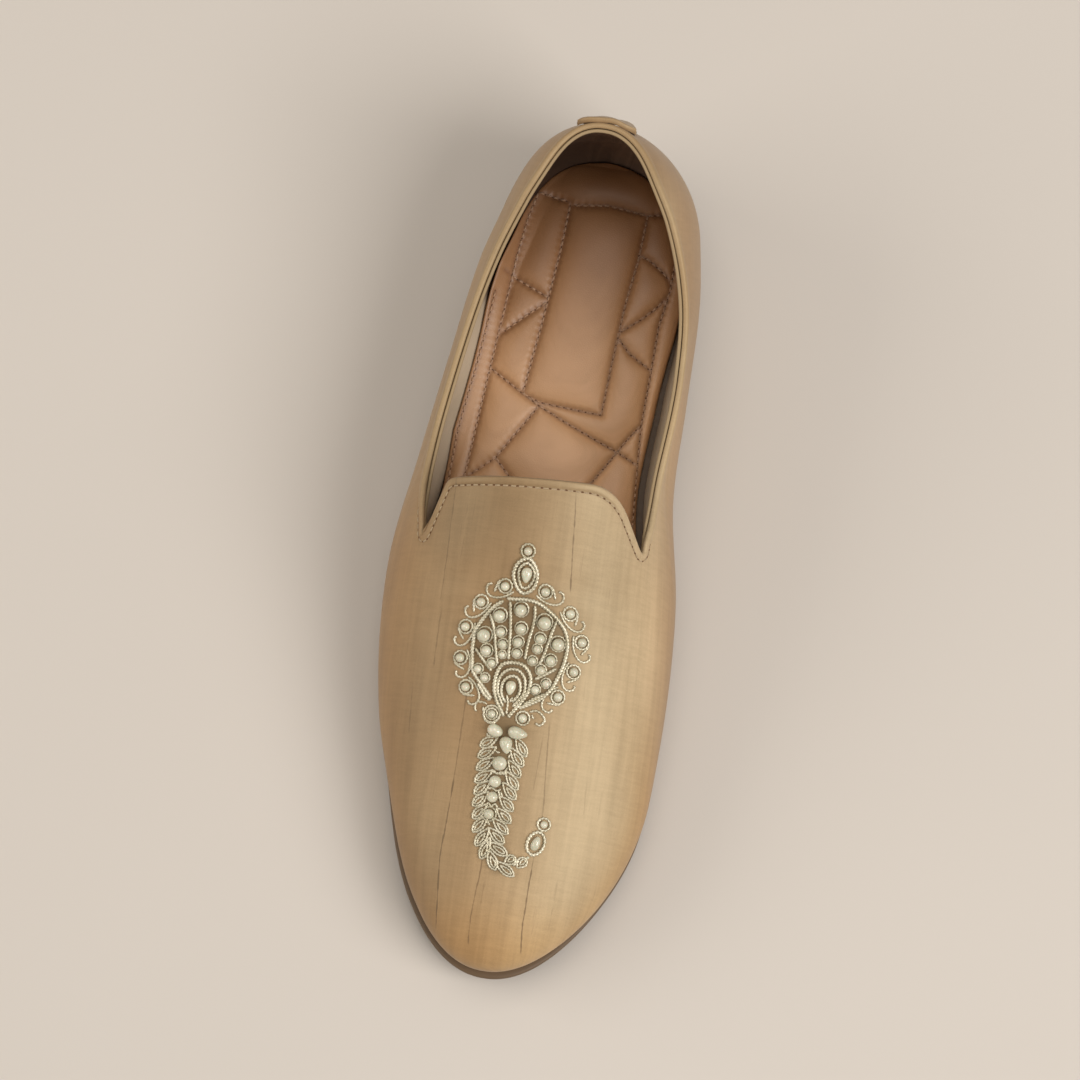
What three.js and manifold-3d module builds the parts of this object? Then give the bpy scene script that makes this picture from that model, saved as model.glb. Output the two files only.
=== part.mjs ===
/**
 * A woman's slip-on loafer for the right foot: a raw silk upper lasted over a padded insole,
 * a thin outsole on a low heel, a folded tab at the back and a bead ornament on the vamp.
 *
 * Millimetres. +Z is up, the toe points to -Y and the inner side of the foot is +X.
 * A place on the last is given by "at", the distance from the back of the heel along the foot,
 * and by "turn", an angle over the foot: 0 is the outer side's widest level, PI the inner side's.
 */
import * as THREE from 'three';
import { mergeVertices } from 'three/addons/utils/BufferGeometryUtils.js';
import Module from 'manifold-3d';

const wasm = await Module();
wasm.setup();

// ---- driving dimensions ----

const LENGTH = 249.4; // the last, from the heel to the toe at its widest level
const TOE_ROUND = 56; // length over which the toe narrows to its tip
const TOE_POWER = 2.08;
const TOE_DROP = 38; // length over which the vamp falls to the toe's edge
const DROP_POWER = 2.3;
const HEEL_ROUND = 27.6; // length over which the heel narrows to its back
const HEEL_POWER = 2.2;
const HEEL_LEAN = 10.5; // how far the back of the heel leans forward at LEAN_HEIGHT
const LEAN_HEIGHT = 45;
const LEAN_REACH = 60;
const LEAN_POWER = 1.6;

const WALL = 2.4; // silk, interlining and lining together
const FOLD_HEIGHT = 0.45; // the turned edge stands this proud of the quarters
const FOLD_WIDTH = 2.3;
const FOLD_FOOT = 0.3; // the step down from the fold to the quarter
const FOLD_ROUND = 0.5; // the fold's rounding at the opening's edge
const FOLD_ENDS = [112, 126]; // it dies out between these places before the notches
const GAP = 0.3; // between pieces that touch

const SOLE_THICKNESS = 3.8;
const SOLE_STEP = 0.5; // the lower layer of the sole's edge lies back this far
const SOLE_SEAM = 0.42; // height of that step, as a share of the thickness
const SOLE_BEVEL = 0.5;
const HEEL_FRONT = 64; // where the heel's front face stands
const HEEL_SETBACK = 1.4; // the heel lies inside the sole's edge
const HEEL_TAPER = 1.6;
const HEEL_BEVEL = 1.2;

const INSOLE_EDGE = 3.0; // height of the padded insole at its edge
const INSOLE_CROWN = 5.0; // and along its middle
const INSOLE_CLEARANCE = 1.4; // between the insole and the lining

// The strip behind the heel: half width, how far it hangs below the opening and rises above it,
// its thickness, how far it stands off the quarters, and by what share it narrows downward.
const BACK_TAB = { half: 8.4, drop: 20, rise: 0.9, thickness: 1.6, lift: 0.8, narrowing: 0.15 };

// The last seen from above, a row for each section.
//   half: half of the width            centre: shift of the middle line to the inner side
//   tuckOut, tuckIn: how far the upper turns in below the widest level, on each side
//   welt: how far the sole comes out again beyond the feather edge
const PLAN = [
  { at: 0, half: 26.7, centre: -0.9, tuckOut: 3.1, tuckIn: 3.1, welt: 2.2 },
  { at: 20, half: 28.0, centre: 0.8, tuckOut: 3.0, tuckIn: 3.8, welt: 2.2 },
  { at: 45, half: 33.0, centre: 0.0, tuckOut: 4.5, tuckIn: 3.4, welt: 2.0 },
  { at: 75, half: 35.6, centre: -1.4, tuckOut: 6.0, tuckIn: 5.4, welt: 1.8 },
  { at: 105, half: 38.0, centre: -2.9, tuckOut: 5.7, tuckIn: 7.1, welt: 1.8 },
  { at: 135, half: 42.7, centre: -1.8, tuckOut: 5.0, tuckIn: 6.4, welt: 2.2 },
  { at: 155, half: 43.2, centre: -0.5, tuckOut: 4.0, tuckIn: 4.8, welt: 2.3 },
  { at: 180, half: 41.4, centre: 1.8, tuckOut: 3.6, tuckIn: 4.0, welt: 2.7 },
  { at: 205, half: 37.2, centre: 4.9, tuckOut: 2.2, tuckIn: 3.4, welt: 3.1 },
  { at: 230, half: 33.8, centre: 4.9, tuckOut: 1.6, tuckIn: 3.2, welt: 3.2 },
  { at: LENGTH, half: 30.5, centre: 3.7, tuckOut: 2.1, tuckIn: 2.1, welt: 3.6 },
];

// The last seen from the side, a row for each section.
//   feather: height of the edge where upper and sole meet
//   cheek: height of the widest level above it      ridge: height of the top line above that
//   archOut, archIn: how full the section is on each side, 2 for an ellipse; at the waist the
//   inner side stands almost upright
const PROFILE = [
  { at: 0, feather: 12.0, cheek: 15.0, ridge: 48.5, archOut: 3.3, archIn: 3.0 },
  { at: 20, feather: 12.0, cheek: 14.8, ridge: 50.2, archOut: 3.2, archIn: 2.8 },
  { at: 45, feather: 11.7, cheek: 14.3, ridge: 52.0, archOut: 2.5, archIn: 3.8 },
  { at: 75, feather: 10.2, cheek: 13.6, ridge: 53.6, archOut: 2.4, archIn: 6.9 },
  { at: 105, feather: 7.2, cheek: 12.5, ridge: 54.0, archOut: 2.3, archIn: 3.3 },
  { at: 135, feather: 4.9, cheek: 11.5, ridge: 47.3, archOut: 2.3, archIn: 2.2 },
  { at: 155, feather: 4.1, cheek: 10.8, ridge: 39.0, archOut: 2.25, archIn: 2.25 },
  { at: 180, feather: 4.1, cheek: 10.0, ridge: 30.4, archOut: 2.2, archIn: 2.2 },
  { at: 205, feather: 4.7, cheek: 9.3, ridge: 23.6, archOut: 2.15, archIn: 2.15 },
  { at: 230, feather: 7.0, cheek: 8.6, ridge: 17.6, archOut: 2.15, archIn: 2.15 },
  { at: LENGTH, feather: 10.8, cheek: 8.0, ridge: 13.5, archOut: 2.15, archIn: 2.15 },
];

// Height of the opening's edge along both quarters, from the heel to the notches.
const TOPLINE = [
  { at: 0, height: 69.5 },
  { at: 15, height: 69.0 },
  { at: 35, height: 62.9 },
  { at: 60, height: 56.0 },
  { at: 85, height: 52.0 },
  { at: 110, height: 49.7 },
  { at: 133, height: 51.6 },
];

// Corners of the tongue-shaped front edge, seen from above: the outer notch, the two corners
// of the tab with the length that each one's rounding takes, and the inner notch.
const OUTER_NOTCH = 132.1;
const INNER_NOTCH = 127.2;
const TAB_CORNERS = [
  { x: -28.0, at: 116.4, round: 2.2 },
  { x: 20.4, at: 112.6, round: 7.5 },
];

// How finely each piece is made.
const QUARTER_COLUMNS = 24;
const FRONT_COLUMNS = 46;
const WALL_ROWS = 11;
const TUCK_ROWS = 3;
const ROW_CROWDING = 1.5; // rows lie closer together near the widest level
const COLUMN_SAMPLES = 400;
const SOLE_STATIONS = 42;
const INSOLE_STATIONS = 36;
const HEEL_STATIONS = 16;
const TAB_COLUMNS = 14;
const TAB_ROWS = 6;

// ---- the last ----

/** A smooth curve through one column of a table, read at a distance along the foot. */
function through(rows, column, at) {
  const last = rows.length - 1;
  const slope = (i) => (rows[i + 1][column] - rows[i][column]) / (rows[i + 1].at - rows[i].at);
  const tangent = (i) => {
    if (i === 0) return slope(0);
    if (i === last) return slope(last - 1);
    const before = rows[i].at - rows[i - 1].at;
    const after = rows[i + 1].at - rows[i].at;
    return (slope(i - 1) * after + slope(i) * before) / (before + after);
  };
  const place = THREE.MathUtils.clamp(at, rows[0].at, rows[last].at);
  let i = 0;
  while (i < last - 1 && rows[i + 1].at <= place) i += 1;
  const span = rows[i + 1].at - rows[i].at;
  const t = (place - rows[i].at) / span;
  return (
    (2 * t ** 3 - 3 * t ** 2 + 1) * rows[i][column] +
    (t ** 3 - 2 * t ** 2 + t) * span * tangent(i) +
    (3 * t ** 2 - 2 * t ** 3) * rows[i + 1][column] +
    (t ** 3 - t ** 2) * span * tangent(i + 1)
  );
}

const plan = (column, at) => through(PLAN, column, at);
const profile = (column, at) => through(PROFILE, column, at);

/** Half of the last's width, rounded off at the toe and at the heel. */
function halfWidth(at) {
  const toe = THREE.MathUtils.clamp((at - LENGTH + TOE_ROUND) / TOE_ROUND, 0, 1);
  const heel = THREE.MathUtils.clamp((HEEL_ROUND - at) / HEEL_ROUND, 0, 1);
  return plan('half', at) * (1 - toe ** 2) ** (1 / TOE_POWER) * (1 - heel ** 2) ** (1 / HEEL_POWER);
}

const widestLevel = (at) => profile('feather', at) + profile('cheek', at);

/** Height of the top line above the widest level; it falls to nothing at the toe. */
function ridgeHeight(at) {
  const drop = THREE.MathUtils.clamp((at - LENGTH + TOE_DROP) / TOE_DROP, 0, 1);
  return profile('ridge', at) * Math.sqrt(1 - drop ** DROP_POWER);
}

/** How full the section is on one side: positive for the outer side, negative for the inner. */
const arch = (side, at) => profile(side < 0 ? 'archIn' : 'archOut', at);

/** The point of the last's surface at a distance along the foot and an angle over it. */
function surface(at, turn) {
  const side = Math.cos(turn);
  const reach = Math.sign(side) * Math.abs(side) ** (2 / arch(side, at));
  const level = widestLevel(at);
  const z = level + Math.sin(turn) * ridgeHeight(at);
  const climb = THREE.MathUtils.clamp((z - level) / LEAN_HEIGHT, 0, 2);
  const lean = HEEL_LEAN * climb ** LEAN_POWER * Math.exp(-((at / LEAN_REACH) ** 2));
  return new THREE.Vector3(plan('centre', at) - halfWidth(at) * reach, -at - lean, z);
}

/** The angle over the foot at which the outer side's surface reaches a height. */
function turnAtHeight(at, z) {
  const share = THREE.MathUtils.clamp((z - widestLevel(at)) / ridgeHeight(at), 0, 1);
  return Math.asin(share);
}

/** The angle over the foot under which the surface lies at x, seen from above. */
function turnAcross(at, x) {
  const half = Math.max(halfWidth(at), 1e-6);
  const share = THREE.MathUtils.clamp((plan('centre', at) - x) / half, -1, 1);
  return Math.acos(Math.sign(share) * Math.abs(share) ** (arch(share, at) / 2));
}

/** The surface above a place given from above, and its normal. */
function above(at, x) {
  const step = 0.2;
  const point = surface(at, turnAcross(at, x));
  const along = surface(at + step, turnAcross(at + step, x)).sub(point);
  const across = surface(at, turnAcross(at, x + step)).sub(point);
  return { point, normal: across.cross(along).normalize().negate() };
}

// ---- meshes ----

/**
 * A closed body from sections with the same number of points. With ring, the last section joins
 * the first one. Otherwise each end is a section that has shrunk to a line, or it is capped.
 */
function loft(sections, { ring = false, cap = false } = {}) {
  const size = sections[0].length;
  const triangles = [];
  const quad = (a, b, c, d) => triangles.push(a, b, c, a, c, d);
  const count = ring ? sections.length : sections.length - 1;
  for (let i = 0; i < count; i += 1) {
    const here = sections[i];
    const next = sections[(i + 1) % sections.length];
    for (let j = 0; j < size; j += 1) {
      const k = (j + 1) % size;
      quad(here[j], next[j], next[k], here[k]);
    }
  }
  if (cap) {
    // An end is closed across its width, point to opposite point, so that it may be a crescent.
    for (const [section, turned] of [[sections[0], false], [sections[sections.length - 1], true]]) {
      for (let j = 0; j < (size - 1) / 2; j += 1) {
        const strip = [section[j], section[j + 1], section[size - 2 - j], section[size - 1 - j]];
        quad(...(turned ? strip.reverse() : strip));
      }
    }
  }
  return closed(triangles);
}

/** A geometry from corner points, three to a triangle: merged, without slivers, facing out. */
function closed(corners) {
  const soup = new THREE.BufferGeometry().setFromPoints(corners);
  const merged = mergeVertices(soup.setIndex([...corners.keys()]), 1e-4);
  const index = merged.index.array;
  const kept = [];
  for (let i = 0; i < index.length; i += 3) {
    const [a, b, c] = index.slice(i, i + 3);
    if (a !== b && b !== c && a !== c) kept.push(a, b, c);
  }
  merged.setIndex(kept);
  if (signedVolume(merged) < 0) merged.setIndex(kept.reverse());
  merged.computeVertexNormals();
  return merged;
}

function signedVolume(geometry) {
  const place = geometry.attributes.position;
  const index = geometry.index.array;
  const [a, b, c] = [new THREE.Vector3(), new THREE.Vector3(), new THREE.Vector3()];
  let volume = 0;
  for (let i = 0; i < index.length; i += 3) {
    a.fromBufferAttribute(place, index[i]);
    b.fromBufferAttribute(place, index[i + 1]);
    c.fromBufferAttribute(place, index[i + 2]);
    volume += a.dot(b.cross(c)) / 6;
  }
  return volume;
}

/** Points evenly spaced along a path given as points; blend gives each new point. */
function evenly(points, count, distance, blend) {
  const lengths = [0];
  for (let i = 1; i < points.length; i += 1) {
    lengths.push(lengths[i - 1] + distance(points[i - 1], points[i]));
  }
  const total = lengths[lengths.length - 1];
  const result = [];
  let k = 0;
  for (let i = 0; i <= count; i += 1) {
    const goal = (total * i) / count;
    while (k < points.length - 2 && lengths[k + 1] < goal) k += 1;
    const part = (goal - lengths[k]) / Math.max(lengths[k + 1] - lengths[k], 1e-9);
    result.push(blend(points[k], points[k + 1], THREE.MathUtils.clamp(part, 0, 1)));
  }
  return result;
}

const range = (count, value) => Array.from({ length: count }, (_, i) => value(i));

// ---- outlines seen from above ----

/** The widest outline on one side (-1 outer, 1 inner), between two distances along the foot. */
function outlineSide(side, from, to, count) {
  const fine = range(401, (i) => {
    // A cosine step crowds the samples where the outline turns round the heel and the toe.
    const at = from + ((to - from) * (1 - Math.cos((Math.PI * i) / 400))) / 2;
    return { at, x: plan('centre', at) + side * halfWidth(at), side };
  });
  const distance = (a, b) => Math.hypot(b.at - a.at, b.x - a.x);
  const blend = (a, b, t) => {
    const at = THREE.MathUtils.lerp(a.at, b.at, t);
    return { at, x: plan('centre', at) + side * halfWidth(at), side };
  };
  return evenly(fine, count, distance, blend);
}

/** Outward normals, seen from above, of a closed ring of places that runs outer side first. */
function ringNormals(ring) {
  return ring.map((_, i) => {
    const before = ring[(i + ring.length - 1) % ring.length];
    const after = ring[(i + 1) % ring.length];
    const normal = new THREE.Vector2(-(after.at - before.at), after.x - before.x);
    return normal.normalize();
  });
}

/** Pairs of outline places, outer and inner, with their normals, from the heel to the toe. */
function outlinePairs(from, to, count) {
  const outer = outlineSide(-1, from, to, count);
  const inner = outer.map(({ at }) => ({ at, x: plan('centre', at) + halfWidth(at), side: 1 }));
  const ends = (places, sign) => places.map((place, i) => {
    const step = 0.02;
    const low = Math.max(place.at - step, 0);
    const high = Math.min(place.at + step, LENGTH);
    const x = (at) => plan('centre', at) + sign * halfWidth(at);
    const tip = place.at < 1e-6 ? -1 : place.at > LENGTH - 1e-6 ? 1 : 0;
    const normal = new THREE.Vector2(sign * (high - low), -sign * (x(high) - x(low))).normalize();
    return { ...place, normal: tip ? new THREE.Vector2(0, tip) : normal, i };
  });
  const outers = ends(outer, -1);
  const inners = ends(inner, 1);
  return outers.map((place, i) => [place, inners[i]]);
}

/** How far the feather edge lies inside the widest outline. */
const tuck = ({ at, side }) => plan(side < 0 ? 'tuckOut' : 'tuckIn', at);

/** The place moved outward, seen from above, as a point at height z. */
function moved(place, outward, z) {
  return new THREE.Vector3(
    place.x + place.normal.x * outward,
    -(place.at + place.normal.y * outward),
    z,
  );
}

// ---- upper ----

/** The front edge of the opening, seen from above, from the outer notch to the inner one. */
function frontEdge() {
  const notch = (at, side) => {
    const turn = turnAtHeight(at, through(TOPLINE, 'height', at));
    return new THREE.Vector2(surface(at, side < 0 ? turn : Math.PI - turn).x, at);
  };
  const corners = TAB_CORNERS.map(({ x, at }) => new THREE.Vector2(x, at));
  const stops = [notch(OUTER_NOTCH, -1), ...corners, notch(INNER_NOTCH, 1)];
  const path = new THREE.Path();
  path.moveTo(stops[0].x, stops[0].y);
  TAB_CORNERS.forEach(({ round }, i) => {
    const [before, corner, after] = stops.slice(i, i + 3);
    const start = corner.clone().add(before.clone().sub(corner).setLength(round));
    const end = corner.clone().add(after.clone().sub(corner).setLength(round));
    path.lineTo(start.x, start.y);
    path.quadraticCurveTo(corner.x, corner.y, end.x, end.y);
  });
  path.lineTo(stops[3].x, stops[3].y);
  return path.getSpacedPoints(FRONT_COLUMNS);
}

/** The columns of the upper's wall: each joins a place of the widest outline to the opening. */
function wallColumns() {
  const quarter = (side, notch) => {
    const fine = range(201, (i) => (notch * i) / 200);
    const topline = (at) => {
      const turn = turnAtHeight(at, through(TOPLINE, 'height', at));
      return { at, turn: side < 0 ? turn : Math.PI - turn };
    };
    const distance = (a, b) => surface(a.at, a.turn).distanceTo(surface(b.at, b.turn));
    const blend = (a, b, t) => topline(THREE.MathUtils.lerp(a.at, b.at, t));
    const tops = evenly(fine.map(topline), QUARTER_COLUMNS, distance, blend);
    const feet = outlineSide(side, 0, notch, QUARTER_COLUMNS);
    return feet.map((foot, i) => ({ foot, top: tops[i], front: false }));
  };
  const outer = quarter(-1, OUTER_NOTCH);
  const inner = quarter(1, INNER_NOTCH);
  const distance = (a, b) => Math.hypot(b.at - a.at, b.x - a.x);
  const around = [
    ...outlineSide(-1, OUTER_NOTCH, LENGTH, 200),
    ...outlineSide(1, INNER_NOTCH, LENGTH, 200).reverse().slice(1),
  ];
  const blend = (a, b, t) => {
    const at = THREE.MathUtils.lerp(a.at, b.at, t);
    const side = t < 0.5 ? a.side : b.side;
    return { at, x: plan('centre', at) + side * halfWidth(at), side };
  };
  const feet = evenly(around, FRONT_COLUMNS, distance, blend);
  const front = frontEdge().map((place, i) => ({
    foot: feet[i],
    top: { at: place.y, x: place.x, turn: turnAcross(place.y, place.x) },
    front: true,
  }));
  const columns = [...outer.slice(0, -1), ...front, ...inner.slice(1, -1).reverse()];
  const normals = ringNormals(columns.map(({ foot }) => foot));
  return columns.map((column, i) => ({ ...column, foot: { ...column.foot, normal: normals[i] } }));
}

/** The place of a column of the wall at a share, from 0 at the widest level to 1 at the opening. */
function onColumn({ foot, top, front }, share) {
  if (!front) {
    const start = foot.side < 0 ? 0 : Math.PI;
    const at = THREE.MathUtils.lerp(foot.at, top.at, share);
    return { at, turn: THREE.MathUtils.lerp(start, top.turn, share) };
  }
  const slant = Math.min(top.turn, Math.PI - top.turn);
  const part = (1 - Math.cos(slant * share)) / (1 - Math.cos(slant));
  const at = THREE.MathUtils.lerp(foot.at, top.at, part);
  return { at, turn: turnAcross(at, THREE.MathUtils.lerp(foot.x, top.x, part)) };
}

/** The rows of one column, from the feather edge up to the opening, as places and points. */
function columnRows(column) {
  const { foot } = column;
  const low = range(TUCK_ROWS, (j) => {
    const down = 1 - j / TUCK_ROWS;
    const height = widestLevel(foot.at) - profile('cheek', foot.at) * down;
    return { point: moved(foot, -tuck(foot) * down ** 2, height) };
  });
  const fine = range(COLUMN_SAMPLES + 1, (i) => {
    const place = onColumn(column, i / COLUMN_SAMPLES);
    return { ...place, point: surface(place.at, place.turn) };
  });
  const lengths = [0];
  for (let i = 1; i < fine.length; i += 1) {
    lengths.push(lengths[i - 1] + fine[i].point.distanceTo(fine[i - 1].point));
  }
  const total = lengths[COLUMN_SAMPLES];
  const pick = (length) => fine[lengths.findIndex((reached) => reached >= length - 1e-6)];
  const wall = range(WALL_ROWS, (j) => {
    return pick((total - FOLD_WIDTH - FOLD_FOOT) * (j / (WALL_ROWS - 1)) ** ROW_CROWDING);
  });
  return [...low, ...wall, pick(total - FOLD_WIDTH), pick(total - FOLD_ROUND), fine[COLUMN_SAMPLES]];
}

/** The outward normal of the last at a place, or none where the toe closes in. */
function placeNormal({ at, turn }) {
  if (turn === undefined || at > LENGTH - TOE_DROP / 2 || at < HEEL_ROUND) return null;
  const step = 0.01;
  const along = surface(at + step, turn).sub(surface(at - step, turn));
  const over = surface(at, turn + step).sub(surface(at, turn - step));
  return over.cross(along).normalize().negate();
}

function makeUpper() {
  const columns = wallColumns();
  const grid = columns.map(columnRows);
  const top = grid[0].length - 1;
  const gridNormal = (i, j) => {
    const around = grid[(i + 1) % grid.length][j].point.clone();
    around.sub(grid[(i + grid.length - 1) % grid.length][j].point);
    const up = grid[i][Math.min(j + 1, top)].point.clone();
    up.sub(grid[i][Math.max(j - 1, 0)].point);
    return around.cross(up).normalize();
  };
  const normal = (i, j) => placeNormal(grid[i][j]) ?? gridNormal(i, j);
  const fold = [0, FOLD_HEIGHT, FOLD_HEIGHT, 0];
  const sections = grid.map((rows, i) => {
    const column = columns[i];
    const flat = column.front ? 1 : THREE.MathUtils.smoothstep(column.top.at, ...FOLD_ENDS);
    const outer = rows.map(({ point }, j) => {
      const raise = (fold[j - top + 3] ?? 0) * (1 - flat);
      return point.clone().addScaledVector(normal(i, j), raise);
    });
    const inner = rows.map(({ point }, j) => {
      const inside = point.clone().addScaledVector(normal(i, j), -WALL);
      if (j === 0) inside.z = point.z;
      return inside;
    });
    const spared = inner.filter((_, j) => j < TUCK_ROWS || j === top || (j - TUCK_ROWS) % 2 === 0);
    return [...outer, ...spared.reverse()];
  });
  return loft(sections, { ring: true });
}

// ---- sole, heel and insole ----

/** One section of the sole or heel from its edge's lines: how far out and how high each runs. */
function soleSection(pair, lines) {
  const edge = (place) => lines.map(({ out, z }) => {
    return moved(place, plan('welt', place.at) - tuck(place) + out, z);
  });
  return [...edge(pair[0]), ...edge(pair[1]).reverse()];
}

/** The outsole: an upper layer, and a lower one that lies back by a step. */
function makeOutsole() {
  const sections = outlinePairs(0, LENGTH, SOLE_STATIONS).map((pair) => {
    const top = profile('feather', pair[0].at) - GAP;
    const bottom = Math.max(top - SOLE_THICKNESS, 0);
    const seam = THREE.MathUtils.lerp(bottom, top, SOLE_SEAM);
    return soleSection(pair, [
      { out: -SOLE_BEVEL, z: top },
      { out: 0, z: top - SOLE_BEVEL },
      { out: 0, z: seam + SOLE_STEP * 0.3 },
      { out: -SOLE_STEP, z: seam },
      { out: -SOLE_STEP, z: bottom + SOLE_BEVEL },
      { out: -SOLE_STEP - SOLE_BEVEL, z: bottom },
    ]);
  });
  return loft(sections);
}

function makeHeel() {
  const sections = outlinePairs(0, HEEL_FRONT, HEEL_STATIONS).map((pair) => {
    const top = profile('feather', pair[0].at) - GAP - SOLE_THICKNESS - GAP;
    return soleSection(pair, [
      { out: -HEEL_SETBACK, z: top },
      { out: -HEEL_SETBACK - HEEL_TAPER / 2, z: HEEL_BEVEL },
      { out: -HEEL_SETBACK - HEEL_TAPER, z: 0 },
    ]);
  });
  return loft(sections, { cap: true });
}

/** The padded insole: flat below, softly crowned above, clear of the lining all round. */
function makeInsole() {
  const across = [-1, -0.93, -0.78, -0.4, 0, 0.4, 0.78, 0.93, 1];
  const sections = outlinePairs(0, LENGTH, INSOLE_STATIONS).map((pair) => {
    const floor = profile('feather', pair[0].at);
    const inward = (place) => -tuck(place) - WALL - INSOLE_CLEARANCE;
    const [outer, inner] = pair.map((place) => moved(place, inward(place), floor));
    const top = across.map((share) => {
      const point = outer.clone().lerp(inner, (share + 1) / 2);
      const crown = Math.sqrt(1 - Math.abs(share) ** 3);
      point.z = floor + THREE.MathUtils.lerp(INSOLE_EDGE, INSOLE_CROWN, crown);
      return point;
    });
    return [outer, ...top, inner];
  });
  const [heelEnd, toeEnd] = [sections[0], sections[sections.length - 1]];
  for (const end of [heelEnd, toeEnd]) {
    for (const point of end.slice(1, -1)) point.z = end[0].z + INSOLE_EDGE;
  }
  return loft(sections);
}

// ---- back tab ----

/** The point of the heel's outer surface at x from its middle and at height z. */
function heelSurface(x, z) {
  const side = Math.sign(x) || 1;
  const offset = (at) => {
    const turn = turnAtHeight(at, z);
    return surface(at, side < 0 ? turn : Math.PI - turn);
  };
  let [low, high] = [0, HEEL_ROUND];
  for (let i = 0; i < 40; i += 1) {
    const middle = (low + high) / 2;
    const reached = Math.abs(offset(middle).x - plan('centre', middle));
    if (reached < Math.abs(x)) low = middle;
    else high = middle;
  }
  return offset(low);
}

/** A strip of silk folded over the back of the heel, wider at the top edge than below. */
function makeBackTab() {
  const { half, drop, rise, thickness, lift, narrowing } = BACK_TAB;
  const top = TOPLINE[0].height - 1;
  const sections = range(TAB_COLUMNS + 1, (i) => {
    const share = (2 * i) / TAB_COLUMNS - 1;
    const strip = range(TAB_ROWS + 1, (j) => {
      const down = 1 - j / TAB_ROWS;
      const z = top - drop * down;
      const x = half * share * (1 - narrowing * down);
      const step = 0.3;
      const point = heelSurface(x, z);
      const along = heelSurface(x + step, z).sub(heelSurface(x - step, z));
      const up = heelSurface(x, z + step).sub(heelSurface(x, z - step));
      return { point, normal: up.cross(along).normalize() };
    });
    const thinned = thickness * (1 - Math.abs(share) ** 6 * 0.45);
    const inner = strip.map(({ point, normal }) => point.clone().addScaledVector(normal, lift));
    const outer = strip.map(({ point, normal }, j) => {
      const full = lift + thinned * (j === 0 ? 0.6 : 1);
      return point.clone().addScaledVector(normal, full);
    });
    const crest = outer[TAB_ROWS].clone().lerp(inner[TAB_ROWS], 0.35);
    crest.z += rise;
    return [...outer, crest, ...inner.reverse()];
  });
  return loft(sections, { cap: true });
}

// ---- bead ornament ----

// The ornament lies on the vamp: s runs from its medallion's middle toward the toe, t to the
// inner side, both seen from above.
const ORNAMENT = { at: 160.2, x: -0.6, lift: 0.45, thickness: 0.5 };
const MEDALLION = { s: 0.6, t: 0.7, radius: 16.6, point: 3.3, hub: 0.25 };
// Pearls round its rim on each side: the angle from the throat, and the distance from its middle.
const RIM_PEARLS = [
  { angle: 18.8, reach: 17.7 },
  { angle: 46.4, reach: 17.4 },
  { angle: 73.2, reach: 17.2 },
  { angle: 102, reach: 16.5 },
  { angle: 130, reach: 17.1 },
  { angle: 166, reach: 18.4 },
];
// Pearls in columns that spread from one apex like a fan: the angle of each column's outermost
// pearl, by how much its innermost one turns further, and the pearls' distances and sizes.
const FAN_APEX = { s: 8.6, t: 0.2 };
const FAN_COLUMNS = [
  { start: 0, spread: 0, pearls: 4 },
  { start: 20.6, spread: 14, pearls: 4 },
  { start: 42.4, spread: 19, pearls: 3 },
  { start: 83, spread: 15, pearls: 2 },
];
const FAN_PEARLS = [
  { reach: 18.6, radius: 2.1 },
  { reach: 14.6, radius: 1.75 },
  { reach: 10.9, radius: 1.5 },
  { reach: 7.8, radius: 1.35 },
];
const LONE_PEARLS = [
  { s: -26.1, t: -1.0, radius: 1.5 },
  { s: -19.6, t: -0.4, radius: 1.9 },
  { s: 11.0, t: -0.1, radius: 2.0 },
  { s: 22.9, t: -2.3, radius: 2.0 },
  { s: 22.6, t: 4.0, radius: 2.0 },
  { s: 26.2, t: 1.3, radius: 1.9 },
  { s: 31.6, t: 0.2, radius: 2.0 },
  { s: 36.8, t: -0.2, radius: 1.7 },
  { s: 41.2, t: -0.3, radius: 1.6 },
  { s: 46.1, t: -0.5, radius: 1.6 },
  { s: 52.0, t: 13.9, radius: 1.7 },
  { s: 46.4, t: 15.3, radius: 1.5 },
];
// The stem's plate: its middle line and its half width.
const STEM = [
  { at: 19, t: 0.2, half: 3.6 },
  { at: 27, t: 0.7, half: 6.5 },
  { at: 38, t: 0.2, half: 5.9 },
  { at: 50, t: 0.4, half: 4.7 },
  { at: 58, t: 2.2, half: 3.4 },
];
// The tip that turns back to the inner side.
const HOOK = [
  { s: 57.0, t: 2.0, half: 2.8 },
  { s: 60.4, t: 5.6, half: 2.1 },
  { s: 58.8, t: 10.0, half: 1.5 },
  { s: 55.2, t: 12.9, half: 1.4 },
  { s: 52.0, t: 13.9, half: 2.4 },
  { s: 48.8, t: 14.8, half: 1.5 },
  { s: 45.6, t: 15.5, half: 1.7 },
];
const LEAVES = { count: 10, start: 26.7, step: 3.25, inset: 1.6, slope: 55, turn: 2.5 };
const FINIAL = [
  { s: -28.0, t: -1.0, half: 1.6 },
  { s: -25.0, t: -1.0, half: 1.9 },
  { s: -20.6, t: -0.8, half: 3.4 },
  { s: -16.6, t: -0.7, half: 2.8 },
  { s: -13.6, t: -0.6, half: 2.4 },
];

/** A point over the vamp at height h above the silk. */
function overVamp(s, t, h) {
  const { point, normal } = above(ORNAMENT.at + s, ORNAMENT.x + t);
  return point.addScaledVector(normal, h);
}

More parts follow.
